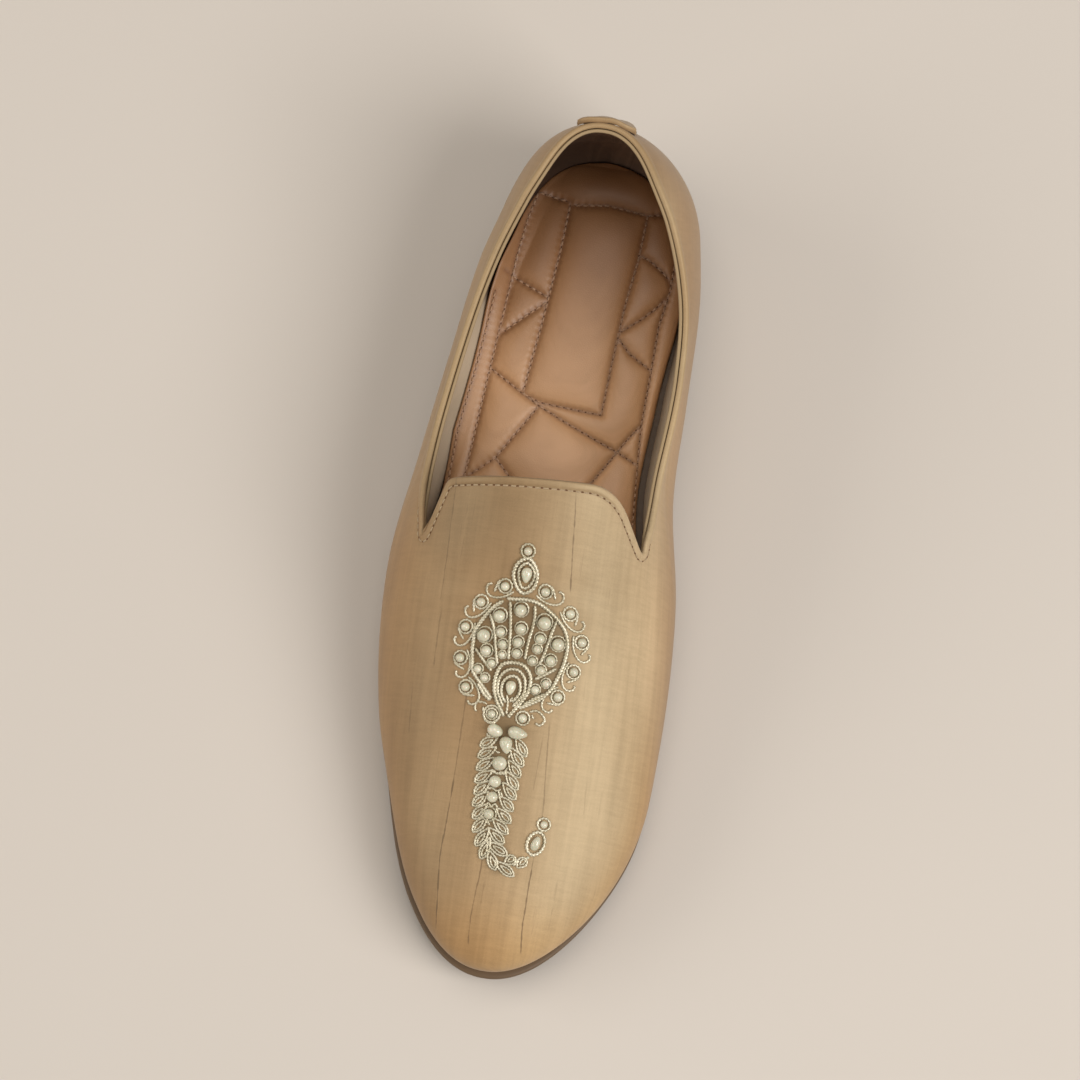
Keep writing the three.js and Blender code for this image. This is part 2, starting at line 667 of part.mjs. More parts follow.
/** A thin plate along a line of rows with half widths, bent onto the vamp. */
function ribbon(rows) {
  const sections = rows.map(({ s, t, half }, i) => {
    const before = rows[Math.max(i - 1, 0)];
    const after = rows[Math.min(i + 1, rows.length - 1)];
    const side = new THREE.Vector2(-(after.t - before.t), after.s - before.s).normalize();
    const shares = [-1, -0.33, 0.33, 1];
    const line = (h) => shares.map((k) => overVamp(s + side.x * half * k, t + side.y * half * k, h));
    return [...line(ORNAMENT.lift), ...line(ORNAMENT.lift + ORNAMENT.thickness).reverse()];
  });
  return loft(sections, { cap: true });
}

/** The medallion's plate: a round form drawn out to a point where the stem begins. */
function medallionPlate() {
  const around = 22;
  const { s, t, radius, point, hub } = MEDALLION;
  const low = ORNAMENT.lift;
  const high = ORNAMENT.lift + ORNAMENT.thickness;
  const rim = range(around, (i) => {
    const angle = (2 * Math.PI * i) / around;
    const out = -Math.cos(angle);
    return { ahead: out * radius + Math.max(out, 0) ** 4 * point, aside: Math.sin(angle) * radius };
  });
  const at = ({ ahead, aside }, share, h) => overVamp(s + ahead * share, t + aside * share, h);
  const shares = [1, 0.62, hub];
  const ring = loft(rim.map((place) => [
    ...shares.map((share) => at(place, share, low)),
    ...shares.map((share) => at(place, share, high)).reverse(),
  ]), { ring: true });
  const wide = hub * 1.1;
  const disc = closed(rim.flatMap((here, i) => {
    const next = rim[(i + 1) % around];
    const [a, b] = [at(here, wide, low), at(next, wide, low)];
    const [c, d] = [at(here, wide, high), at(next, wide, high)];
    return [at(here, 0, low), b, a, at(here, 0, high), c, d, a, b, d, a, d, c];
  }));
  return [ring, disc];
}

/** A low dome on the vamp; long and turned ones stand for the leaves. */
function dome(s, t, radius, { height = 0.95, long = 1, angle = 0, sides = 6 } = {}) {
  const arch = [[0, 0], [1, 0], [0.72, 0.78], [0, 1]];
  const points = arch.map(([r, h]) => new THREE.Vector2(r * radius, h * radius * height));
  const shape = new THREE.LatheGeometry(points, sides);
  shape.rotateX(Math.PI / 2);
  shape.scale(1, long, 1);
  shape.rotateZ(angle);
  const { point, normal } = above(ORNAMENT.at + s, ORNAMENT.x + t);
  const up = new THREE.Vector3(0, 0, 1);
  shape.applyQuaternion(new THREE.Quaternion().setFromUnitVectors(up, normal));
  const foot = point.addScaledVector(normal, ORNAMENT.lift + 0.15);
  shape.translate(foot.x, foot.y, foot.z);
  const place = shape.attributes.position;
  const index = [...shape.index.array];
  return closed(index.map((k) => new THREE.Vector3().fromBufferAttribute(place, k)));
}

const solid = (geometry) => new wasm.Manifold(new wasm.Mesh({
  numProp: 3,
  vertProperties: Float32Array.from(geometry.attributes.position.array),
  triVerts: Uint32Array.from(geometry.index.array),
}));

/** The pearls and leaves on one side of the ornament: -1 for the outer side, 1 for the inner. */
function sidePearls(side) {
  const pearls = RIM_PEARLS.map(({ angle, reach }) => {
    const turn = THREE.MathUtils.degToRad(angle);
    const s = MEDALLION.s - reach * Math.cos(turn);
    const t = MEDALLION.t + side * reach * Math.sin(turn);
    return dome(s, t, 2.0, { height: 0.7 });
  });
  for (const { start, spread, pearls: count } of FAN_COLUMNS) {
    // The middle column is made once, with the outer side.
    if (start === 0 && side > 0) continue;
    for (let i = 0; i < count; i += 1) {
      const { reach, radius } = FAN_PEARLS[i + FAN_PEARLS.length - count];
      const turn = THREE.MathUtils.degToRad(start + (spread * i) / Math.max(count - 1, 1));
      const s = FAN_APEX.s - reach * Math.cos(turn);
      pearls.push(dome(s, FAN_APEX.t + side * reach * Math.sin(turn), radius));
    }
  }
  for (let i = 0; i < LEAVES.count; i += 1) {
    const s = LEAVES.start + LEAVES.step * i;
    const t = through(STEM, 't', s) + side * (through(STEM, 'half', s) - LEAVES.inset);
    const angle = side * THREE.MathUtils.degToRad(LEAVES.slope - LEAVES.turn * i);
    pearls.push(dome(s, t, 1.1, { height: 0.8, long: 1.9, angle, sides: 4 }));
  }
  return pearls;
}

/** The ornament as one body: its plates with the pearls and leaves joined on. */
function makeOrnament() {
  const steps = 8;
  const stem = range(steps + 1, (i) => {
    const s = THREE.MathUtils.lerp(STEM[0].at, STEM[STEM.length - 1].at, i / steps);
    return { s, t: through(STEM, 't', s), half: through(STEM, 'half', s) };
  });
  const pieces = [
    ...medallionPlate(),
    ribbon(stem),
    ribbon(HOOK),
    ribbon(FINIAL),
    ...LONE_PEARLS.map(({ s, t, radius }) => dome(s, t, radius)),
    ...sidePearls(-1),
    ...sidePearls(1),
  ];
  const mesh = pieces.map(solid).reduce((whole, piece) => whole.add(piece)).getMesh();
  const corners = [...mesh.triVerts].map((k) => {
    const [x, y, z] = mesh.vertProperties.slice(k * mesh.numProp, k * mesh.numProp + 3);
    return new THREE.Vector3(x, y, z);
  });
  return closed(corners);
}

// ---- assembly ----

function part(name, geometry, color, roughness, metalness = 0) {
  const mesh = new THREE.Mesh(geometry, new THREE.MeshStandardMaterial({ color, roughness, metalness }));
  mesh.name = name;
  return mesh;
}

const loafer = new THREE.Group();
loafer.add(
  part('upper', makeUpper(), 0xbf9a6b, 0.55),
  part('outsole', makeOutsole(), 0x6e5338, 0.7),
  part('heel', makeHeel(), 0x5f4630, 0.7),
  part('insole', makeInsole(), 0x9a7453, 0.6),
  part('heel_tab', makeBackTab(), 0xb48d5e, 0.55),
  part('embroidery', makeOrnament(), 0xd9cfb4, 0.35, 0.3),
);

// The origin is under the middle of the shoe's box, on the floor.
const box = new THREE.Box3().setFromObject(loafer, true);
const middle = box.getCenter(new THREE.Vector3());
loafer.position.set(-middle.x, -middle.y, -box.min.z);

export default loafer;
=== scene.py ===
"""The looks of a right-foot silk loafer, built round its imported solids.

Shapes are worked out in millimetres on the last: x to the inner side of the foot, "at" from the
back of the heel toward the toe, z up. "turn" is the angle over the foot, 0 at the outer side's
widest level and pi at the inner side's. A side is -1 for the outer one and 1 for the inner.
A body is an array of points with a list of faces; add_piece() puts it in the row frame, in metres.
"""
import math

import bpy
import numpy as np
from mathutils import Matrix, Vector, kdtree


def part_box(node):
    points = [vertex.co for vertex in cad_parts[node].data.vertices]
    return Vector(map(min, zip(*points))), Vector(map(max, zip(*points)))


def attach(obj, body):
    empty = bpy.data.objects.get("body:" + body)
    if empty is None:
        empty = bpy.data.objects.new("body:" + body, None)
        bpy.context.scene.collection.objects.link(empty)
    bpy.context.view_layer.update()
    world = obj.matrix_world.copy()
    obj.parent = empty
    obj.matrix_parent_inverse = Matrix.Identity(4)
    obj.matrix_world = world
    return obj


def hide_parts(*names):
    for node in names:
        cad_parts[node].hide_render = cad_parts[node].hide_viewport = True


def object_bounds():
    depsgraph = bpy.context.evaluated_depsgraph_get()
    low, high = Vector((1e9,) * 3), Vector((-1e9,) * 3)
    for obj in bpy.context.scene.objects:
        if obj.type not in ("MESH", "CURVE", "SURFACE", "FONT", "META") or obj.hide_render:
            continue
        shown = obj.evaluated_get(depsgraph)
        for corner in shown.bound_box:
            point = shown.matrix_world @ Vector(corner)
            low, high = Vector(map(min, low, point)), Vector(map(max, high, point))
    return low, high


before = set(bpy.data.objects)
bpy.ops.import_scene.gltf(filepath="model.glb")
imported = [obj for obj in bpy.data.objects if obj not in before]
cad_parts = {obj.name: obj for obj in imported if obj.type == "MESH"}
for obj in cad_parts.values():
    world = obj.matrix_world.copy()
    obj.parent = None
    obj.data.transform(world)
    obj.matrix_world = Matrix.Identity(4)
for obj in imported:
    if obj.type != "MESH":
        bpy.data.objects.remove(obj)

CAD_LOW, CAD_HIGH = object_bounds()
MM = 0.001

# ---- the last and the pieces' sizes, as in the solids' source ----

LENGTH = 249.4
TOE_ROUND, TOE_POWER = 56.0, 2.08
TOE_DROP, DROP_POWER = 38.0, 2.3
HEEL_ROUND, HEEL_POWER = 27.6, 2.2
HEEL_LEAN, LEAN_HEIGHT, LEAN_REACH, LEAN_POWER = 10.5, 45.0, 60.0, 1.6
WALL = 2.4
GAP = 0.3
SOLE_THICKNESS, SOLE_STEP, SOLE_SEAM = 3.8, 0.5, 0.42
HEEL_FRONT, HEEL_SETBACK, HEEL_TAPER = 64.0, 1.4, 1.6
INSOLE_EDGE, INSOLE_CROWN, INSOLE_CLEARANCE = 3.0, 5.0, 1.4
OUTER_NOTCH, INNER_NOTCH = 132.1, 127.2
TAB_CORNERS = [(-28.0, 116.4, 2.2), (20.4, 112.6, 7.5)]  # x, at and the length of the rounding


def table(columns, rows):
    """Named columns from rows of numbers."""
    return dict(zip(columns.split(), np.array(rows, float).T))


# Half the width, the middle line, how far the sole's edge is tucked in on each side, the welt, the
# levels of the foot's underside, from there to the widest place and on to the ridge, and how full
# each side is.
LAST = table("at half centre tuck_out tuck_in welt feather cheek ridge arch_out arch_in", [
    (0, 26.7, -0.9, 3.1, 3.1, 2.2, 12.0, 15.0, 48.5, 3.3, 3.0),
    (20, 28.0, 0.8, 3.0, 3.8, 2.2, 12.0, 14.8, 50.2, 3.2, 2.8),
    (45, 33.0, 0.0, 4.5, 3.4, 2.0, 11.7, 14.3, 52.0, 2.5, 3.8),
    (75, 35.6, -1.4, 6.0, 5.4, 1.8, 10.2, 13.6, 53.6, 2.4, 6.9),
    (105, 38.0, -2.9, 5.7, 7.1, 1.8, 7.2, 12.5, 54.0, 2.3, 3.3),
    (135, 42.7, -1.8, 5.0, 6.4, 2.2, 4.9, 11.5, 47.3, 2.3, 2.2),
    (155, 43.2, -0.5, 4.0, 4.8, 2.3, 4.1, 10.8, 39.0, 2.25, 2.25),
    (180, 41.4, 1.8, 3.6, 4.0, 2.7, 4.1, 10.0, 30.4, 2.2, 2.2),
    (205, 37.2, 4.9, 2.2, 3.4, 3.1, 4.7, 9.3, 23.6, 2.15, 2.15),
    (230, 33.8, 4.9, 1.6, 3.2, 3.2, 7.0, 8.6, 17.6, 2.15, 2.15),
    (LENGTH, 30.5, 3.7, 2.1, 2.1, 3.6, 10.8, 8.0, 13.5, 2.15, 2.15),
])
TOPLINE = table("at height", [
    (0, 69.5), (15, 69.0), (35, 62.9), (60, 56.0), (85, 52.0), (110, 49.7), (133, 51.6),
])


def through(rows, column, at):
    """A smooth curve through one column of a table, read at distances along the foot."""
    ats, values = rows["at"], rows[column]
    at = np.clip(at, ats[0], ats[-1])
    spans = np.diff(ats)
    slopes = np.diff(values) / spans
    tangents = np.empty(len(ats))
    tangents[0], tangents[-1] = slopes[0], slopes[-1]
    weighted = slopes[:-1] * spans[1:] + slopes[1:] * spans[:-1]
    tangents[1:-1] = weighted / (spans[:-1] + spans[1:])
    i = np.clip(np.searchsorted(ats, at, side="right") - 1, 0, len(ats) - 2)
    t = (at - ats[i]) / spans[i]
    return (
        (2 * t**3 - 3 * t**2 + 1) * values[i]
        + (t**3 - 2 * t**2 + t) * spans[i] * tangents[i]
        + (3 * t**2 - 2 * t**3) * values[i + 1]
        + (t**3 - t**2) * spans[i] * tangents[i + 1]
    )


def last(column, at):
    return through(LAST, column, at)


def half_width(at):
    toe = np.clip((at - LENGTH + TOE_ROUND) / TOE_ROUND, 0, 1)
    heel = np.clip((HEEL_ROUND - at) / HEEL_ROUND, 0, 1)
    rounding = (1 - toe**2) ** (1 / TOE_POWER) * (1 - heel**2) ** (1 / HEEL_POWER)
    return last("half", at) * rounding


def outline_x(at, side):
    return last("centre", at) + side * half_width(at)


def widest_level(at):
    return last("feather", at) + last("cheek", at)


def ridge_height(at):
    drop = np.clip((at - LENGTH + TOE_DROP) / TOE_DROP, 0, 1)
    return last("ridge", at) * np.sqrt(1 - drop**DROP_POWER)


def arch(cosine, at):
    """How full the section is where the turn has this cosine, below 0 on the inner side."""
    return np.where(cosine < 0, last("arch_in", at), last("arch_out", at))


def surface(at, turn):
    """Points of the last's surface."""
    at, turn = np.broadcast_arrays(at, turn)
    cosine = np.cos(turn)
    reach = np.sign(cosine) * np.abs(cosine) ** (2 / arch(cosine, at))
    level = widest_level(at)
    z = level + np.sin(turn) * ridge_height(at)
    climb = np.clip((z - level) / LEAN_HEIGHT, 0, 2)
    lean = HEEL_LEAN * climb**LEAN_POWER * np.exp(-((at / LEAN_REACH) ** 2))
    return np.stack([last("centre", at) - half_width(at) * reach, -at - lean, z], -1)


def turn_at_height(at, z, side):
    """The turn of a height on one side, which is the outer one below 0."""
    turn = np.arcsin(np.clip((z - widest_level(at)) / ridge_height(at), 0, 1))
    return np.where(np.asarray(side) < 0, turn, np.pi - turn)


def turn_across(at, x):
    share = np.clip((last("centre", at) - x) / np.maximum(half_width(at), 1e-6), -1, 1)
    return np.arccos(np.sign(share) * np.abs(share) ** (arch(share, at) / 2))


def on_top(at, x):
    """Points of the vamp over places given from above."""
    return surface(at, turn_across(at, x))


def unit(vectors):
    return vectors / np.maximum(np.linalg.norm(vectors, axis=-1, keepdims=True), 1e-9)


def facing(place, a, b, step):
    """Normals of the surface that place(a, b) gives."""
    with_a = place(a + step, b) - place(a - step, b)
    with_b = place(a, b + step) - place(a, b - step)
    return unit(np.cross(with_a, with_b))


def above(at, x):
    """Points of the vamp over places given from above, with their normals."""
    return on_top(at, x), facing(on_top, at, x, 0.05)


def cosine_sine(degrees):
    return math.cos(math.radians(degrees)), math.sin(math.radians(degrees))


def lifted(plan, z):
    """Points at heights over plan places, which are x and at."""
    return np.stack([plan[..., 0], -plan[..., 1], np.broadcast_to(z, plan.shape[:-1])], -1)


def smooth(value, low, high):
    """0 below low, 1 above high and a soft step between them; high may be the lower one."""
    t = np.clip((value - low) / (high - low), 0, 1)
    return t * t * (3 - 2 * t)


def lengths_along(points):
    steps = np.linalg.norm(np.diff(points, axis=-2), axis=-1)
    return np.concatenate([np.zeros(steps.shape[:-1] + (1,)), np.cumsum(steps, -1)], -1)


def resample(values, points, count):
    """count + 1 rows of values, evenly spaced by the length along points."""
    lengths = lengths_along(points)
    goals = np.linspace(0, lengths[-1], count + 1)
    return np.stack([np.interp(goals, lengths, column) for column in values.T], 1)


def read_grid(grid, i, j):
    """A grid's values between its rows and columns."""
    i, j = (np.clip(n, 0, size - 1.001) for n, size in zip((i, j), grid.shape))
    i0, j0 = i.astype(int), j.astype(int)
    u, v = i - i0, j - j0
    near = grid[i0, j0] * (1 - v) + grid[i0, j0 + 1] * v
    return near * (1 - u) + (grid[i0 + 1, j0] * (1 - v) + grid[i0 + 1, j0 + 1] * v) * u


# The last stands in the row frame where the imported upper's box says.
UPPER_LOW, UPPER_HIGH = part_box("upper")
OUTERMOST = outline_x(np.linspace(0, LENGTH, 2001), -1).min()
ORIGIN = np.array([UPPER_LOW.x / MM - OUTERMOST, UPPER_HIGH.y / MM, 0.0])

# ---- making pieces ----


def put(name, data):
    """A new object of the scene."""
    made = bpy.data.objects.new(name, data)
    bpy.context.scene.collection.objects.link(made)
    return made


def add_piece(name, body, material, slot, smooth_faces=True, **marks):
    """A piece of the shoe from a body in millimetres on the last; marks are point attributes."""
    points, faces = body
    mesh = bpy.data.meshes.new(name)
    mesh.from_pydata(((points + ORIGIN) * MM).tolist(), [], faces)
    mesh.update()
    for key, values in {"cloth": points, **marks}.items():
        vector = np.size(values) == points.size
        kind, field = ("FLOAT_VECTOR", "vector") if vector else ("FLOAT", "value")
        values = np.asarray(values, np.float32).ravel()
        mesh.attributes.new(key, kind, "POINT").data.foreach_set(field, values)
    mesh.polygons.foreach_set("use_smooth", [smooth_faces] * len(faces))
    mesh.materials.append(material)
    piece = put(name, mesh)
    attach(piece, "root")
    return piece


def outward(points, faces):
    """The faces, turned round if they point into the body."""
    corners = points[[face[:3] for face in faces]] - points.mean(0)
    volume = np.einsum("ij,ij->i", corners[:, 0], np.cross(corners[:, 1], corners[:, 2])).sum()
    return faces if volume > 0 else [face[::-1] for face in faces]


def ring_faces(sections, size, ring):
    """Quads between sections of size points each; each section is closed, their row may be."""
    i = np.arange(sections if ring else sections - 1)[:, None]
    j = np.arange(size)
    k, l = (i + 1) % sections, (j + 1) % size
    return np.stack([i * size + j, k * size + j, k * size + l, i * size + l], -1).reshape(-1, 4)


def body_of(grid, ring=False, capped=True):
    """A body from a grid of closed sections, whose row may be a ring too or have capped ends."""
    sections, size = grid.shape[:2]
    points = grid.reshape(-1, 3)
    faces = ring_faces(sections, size, ring).tolist()
    if capped and not ring:
        faces += [list(range(size)), list(range(len(points) - size, len(points)))[::-1]]
    return points, outward(points, faces)


def merged(bodies):
    """One body from several."""
    faces, start = [], 0
    for points, part_faces in bodies:
        faces += [[v + start for v in face] for face in part_faces]
        start += len(points)
    return np.concatenate([points for points, _ in bodies]), faces


def circle(count):
    return np.linspace(0, 2 * np.pi, count, endpoint=False)


def around(middle, up, aside, angles, thick):
    """Sections round the points of a line, at angles from aside to up; thick is their radius."""
    sines, cosines = np.sin(angles)[:, None], np.cos(angles)[:, None]
    out = up[..., None, :] * sines + aside[..., None, :] * cosines
    return middle[..., None, :] + out * thick[..., None]


def tree_of(points):
    tree = kdtree.KDTree(len(points))
    for k, point in enumerate(points):
        tree.insert(point, k)
    tree.balance()
    return tree


# ---- the silk's grain ----

GRAIN_ATS = np.linspace(0, LENGTH, 251)
GRAIN_TURNS = np.linspace(0, np.pi, 361)


def grain_table():
    """Lengths over the foot from the plane x = 0: negative on the outer side."""
    lengths = lengths_along(surface(GRAIN_ATS[:, None], GRAIN_TURNS))
    middles = turn_across(GRAIN_ATS, 0.0)
    zeros = [np.interp(turn, GRAIN_TURNS, row) for turn, row in zip(middles, lengths)]
    return lengths - np.array(zeros)[:, None]


GRAIN = grain_table()


def cloth_place(at, turn):
    """Where a place of the last lies on the cloth: across it and along it, in millimetres."""
    rows, columns = at / GRAIN_ATS[1], turn / GRAIN_TURNS[1]
    across = read_grid(GRAIN, rows, columns)
    return np.stack([across, at, np.zeros_like(across)], -1)


# ---- materials ----

NOISE_TURN = (0.62, 0.51, 0.37)  # a slant through the noise, so that its lattice doesn't show


class Value:
    """A node's output. Sums, products and blends of it add nodes to its material."""

    def __init__(self, shader, socket):
        self.shader, self.socket = shader, socket

    def math(self, operation, other=0.0):
        return self.shader.node("Math", {0: self, 1: other}, operation=operation)

    def __add__(self, other):
        return self.math("ADD", other)

    def __sub__(self, other):
        return self.math("SUBTRACT", other)

    def __mul__(self, other):
        return self.math("MULTIPLY", other)

    def axis(self, number):
        return self.shader.node("SeparateXYZ", {0: self}, number)

    def step(self, low, high):
        """A soft step from 0 at low to 1 at high."""
        inputs = {0: self, 1: low, 2: high}
        return self.shader.node("MapRange", inputs, interpolation_type="SMOOTHSTEP")

    def noise(self, x, y, z=1.0, detail=3.0, roughness=0.55, seed=0.0):
        """Noise of a place in millimetres; x, y and z say how many per millimetre."""
        place = self.shader.node("Mapping", {
            "Vector": self, "Scale": (x, y, z), "Location": [seed] * 3, "Rotation": NOISE_TURN,
        })
        return self.shader.node("TexNoise", {
            "Vector": place, "Scale": 1.0, "Detail": detail, "Roughness": roughness,
        })

    def curve(self, places, heights):
        """A smooth curve through points whose places run from 0 to 1."""
        made = self.shader.node("FloatCurve", {1: self})
        mapping = made.socket.node.mapping
        mapping.clip_min_y, mapping.clip_max_y = -1.0, 1.0
        points = mapping.curves[0].points
        for _ in places[2:]:
            points.new(0.5, 0.5)
        for point, *location in zip(points, places, heights):
            point.location = location
        mapping.update()
        return made

    def blend(self, low, high):
        """The colour this share of the way from low to high."""
        return self.shader.mix(self, low, high, "MIX")

    def tinted(self, colour):
        return self.shader.mix(1.0, self, colour, "MULTIPLY")

    def bump(self, distance, strength):
        """Bump from this height, whose full swing is a distance in millimetres."""
        inputs = {"Height": self, "Distance": distance * MM, "Strength": strength}
        return self.shader.node("Bump", inputs)


class Shader:
    """A material's node tree."""

    def __init__(self, name):
        self.material = bpy.data.materials.new(name)
        self.material.use_nodes = True
        self.tree = self.material.node_tree

    def feed(self, node, inputs):
        for key, value in inputs.items():
            if isinstance(value, Value):
                self.tree.links.new(value.socket, node.inputs[key])
            else:
                node.inputs[key].default_value = value

    def node(self, kind, inputs, output=0, **settings):
        """One output of a new node."""
        made = self.tree.nodes.new("ShaderNode" + kind)
        for key, value in settings.items():
            setattr(made, key, value)
        self.feed(made, inputs)
        return Value(self, made.outputs[output])

    def mark(self, name, output="Fac"):
        return self.node("Attribute", {}, output, attribute_name=name)

    def cloth(self):
        return self.mark("cloth", "Vector")

    def mix(self, share, low, high, blend_type):
        low, high = (c if isinstance(c, Value) else (*c, 1.0) for c in (low, high))
        settings = {"data_type": "RGBA", "blend_type": blend_type}
        return self.node("Mix", {0: share, 6: low, 7: high}, 2, **settings)

    def made(self, **inputs):
        """The material, with these inputs of its surface."""
        inputs = {key.replace("_", " "): value for key, value in inputs.items()}
        self.feed(self.tree.nodes["Principled BSDF"], inputs)
        return self.material


# Dark slubs that run along the vamp: places x and at, half width and strength.
SLUBS = [
    ([(9, 115), (10, 125), (11.1, 136), (11.8, 143)], 0.16, 0.7),
    ([(11.6, 176), (11.9, 180.7), (12.8, 191.2), (13.8, 202.6), (13.6, 214)], 0.14, 0.5),
    ([(13.4, 214), (13.4, 219.8), (13.3, 226.9), (13.4, 231), (13.5, 236.7), (14, 243.2)],
     0.16, 0.8),
    ([(-13.6, 150), (-13.1, 170), (-12.9, 183.7), (-12.9, 199)], 0.16, 0.5),
    ([(-12.9, 194), (-12.9, 206), (-13.1, 213.2), (-13.2, 221.3), (-12.6, 227.4),
      (-11.9, 234.5), (-11.2, 240.4)], 0.17, 0.8),
    ([(-1.2, 214), (-1, 221.3), (-1.3, 227.6), (-1.6, 234.8), (-1.2, 243.2)], 0.15, 0.62),
    ([(-25.3, 112), (-24.8, 130), (-24.6, 150)], 0.15, 0.45),
    ([(-23.8, 150), (-24, 158), (-23.8, 168.2)], 0.20, 0.45),
    ([(-29.4, 172), (-29, 176.5), (-28.2, 187)], 0.18, 0.4),
    ([(10.6, 180), (10.2, 198)], 0.12, 0.3),
    ([(0.8, 222), (0.6, 232)], 0.20, 0.3),
    ([(24.6, 190), (25.4, 202)], 0.14, 0.25),
]
SLUB_SPAN = 50.0  # a slub's curve is kept as a share of this length across


def slub_lines(cloth, dark):
    """The dark slubs over what is dark already, each with wavering edges and thin ends."""
    across, along = cloth.axis(0), cloth.axis(1)
    moved = across + (cloth.noise(0.02, 0.16, seed=19.0) - 0.5) * 0.7
    thick = cloth.noise(0.05, 0.35, detail=2.0, seed=23.0).step(0.25, 0.75) * 1.5
    share = along.math("DIVIDE", LENGTH)
    for places, half, strength in SLUBS:
        x, at = np.array(places).T
        lie = cloth_place(at, turn_across(at, x))[:, 0]
        line = share.curve(at / LENGTH, lie / SLUB_SPAN) * SLUB_SPAN
        off = (moved - line).math("ABSOLUTE") - thick * half
        inside = along.step(at[0], at[0] + 6.0) * along.step(at[-1] + 0.3, at[-1] - 1.0)
        dark = dark.math("MAXIMUM", off.step(0.18, -0.06) * inside * strength)
    return dark


def silk_material(name, slubbed):
    """Raw silk: soft crosswise streaks, lengthwise threads and dark slubs, with a broad sheen."""
    shader = Shader(name)
    cloth = shader.cloth()
    across, along = cloth.axis(0), cloth.axis(1)
    sway = cloth.noise(0.09, 0.05, detail=2.0, seed=29.0)
    sway = shader.node("CombineXYZ", {0: sway * 1.5, 1: sway * 2.0})
    swayed = shader.node("VectorMath", {0: cloth, 1: sway}, operation="ADD")
    ribs = swayed.noise(0.13, 0.95, detail=4.0, roughness=0.65)
    threads = swayed.noise(0.8, 0.035, roughness=0.6, seed=7.0)
    bands = cloth.noise(0.25, 0.012, roughness=0.6, seed=3.0)
    calm = along.step(150.0, 112.0) * 0.65  # the quarters have fainter bands
    bands = calm.blend(bands, (0.5, 0.5, 0.5))
    fibres = cloth.noise(2.6, 2.6, roughness=0.7, seed=13.0)
    breaks = cloth.noise(0.7, 0.16, seed=11.0)
    dark = threads.step(0.62, 0.74) * breaks.step(0.42, 0.6) * 0.30
    if slubbed:
        dark = slub_lines(cloth, dark)

    patches = cloth.noise(0.04, 0.025, detail=2.0, seed=5.0).step(0.3, 0.7)
    brown = patches.blend((0.292, 0.180, 0.088), (0.330, 0.210, 0.106))
    pale = patches.blend((0.430, 0.312, 0.182), (0.470, 0.350, 0.210))
    # Painted shade and light: darker brown toward the outer side and paler toward the inner side, where
    # the light falls.
    tone = across.step(-12.0, 30.0).blend(brown, pale)
    # Painted shade: a deeper, warmer tone low on the inner wall and on the back of the inner quarter.
    low = across.step(34.0, 62.0)
    back = along.step(86.0, 52.0) * across.step(10.0, 40.0)
    tone = (low.math("MAXIMUM", back) * 0.8).blend(tone, (0.30, 0.165, 0.07))
    tone = along.step(26.0, 6.0).blend(tone, (0.305, 0.18, 0.083))
    # Painted shade: a warmer, darker tone where the surface turns down from upright toward the front,
    # and over the toe.
    upright = shader.node("NewGeometry", {}, "Normal").axis(2)
    turned = upright.step(0.85, 0.3) * (along - across * 0.6).step(133.0, 170.0)
    turned = turned.math("MAXIMUM", along.step(222.0, 246.0))
    tone = turned.blend(tone, tone.tinted((1.03, 0.92, 0.75)))
    light = (ribs * 0.7 + bands * 1.1 + threads * 0.6 + fibres * 0.7).step(0.95, 2.05)
    tone = tone.tinted(light.blend((0.83, 0.82, 0.80), (1.17, 1.18, 1.20)))
    tone = dark.blend(tone, (0.12, 0.068, 0.032))
    # Painted light and shade from the SHADES spots.
    if slubbed:
        tone = tone.tinted(shader.mark("shade"))
    tone = (shader.mark("ground") * 0.65).blend(tone, (0.13, 0.085, 0.042))
    tone = (shader.mark("rim") * 0.35).blend(tone, (0.38, 0.28, 0.155))
    height = ribs * 0.7 + threads * 0.7 + fibres * 0.5 + dark * 0.4
    return shader.made(
        Base_Color=tone, Normal=height.bump(0.10, 0.35), Roughness=fibres * 0.16 + 0.42, IOR=1.6,
        Specular_IOR_Level=0.6, Specular_Tint=(1.0, 0.93, 0.66, 1.0), Sheen_Weight=0.08,
        Sheen_Roughness=0.5,
    )


def lining_material():
    """Lining cloth, beige along the sides and brown leatherette round the heel, whose brown carries
    painted shade and light.
    """
    shader = Shader("lining_cloth")
    soft = shader.cloth().noise(0.08, 0.05, seed=4.0).step(0.3, 0.7)
    beige = soft.blend((0.46, 0.375, 0.27), (0.55, 0.45, 0.33))
    beige = shader.mark("edge").blend(beige, (0.36, 0.26, 0.145))
    # The heel's brown leatherette, darkened with painted shade; darker still toward the outer side (x
    # below -0.02 m) and lightened toward the inner side, as painted shade and light.
    brown = soft.blend((0.13, 0.083, 0.058), (0.19, 0.122, 0.083))
    inner = shader.node("TexCoord", {}, "Object").axis(0).step(-0.02, 0.01)
    brown = brown.tinted(inner.blend((0.45, 0.40, 0.37), (1.7, 1.8, 1.9)))
    weave = shader.cloth().noise(1.6, 1.6, detail=4.0)
    return shader.made(
        Base_Color=shader.mark("heel").blend(beige, brown), Normal=weave.bump(0.05, 0.4),
        Roughness=0.7, Specular_IOR_Level=0.3,
    )


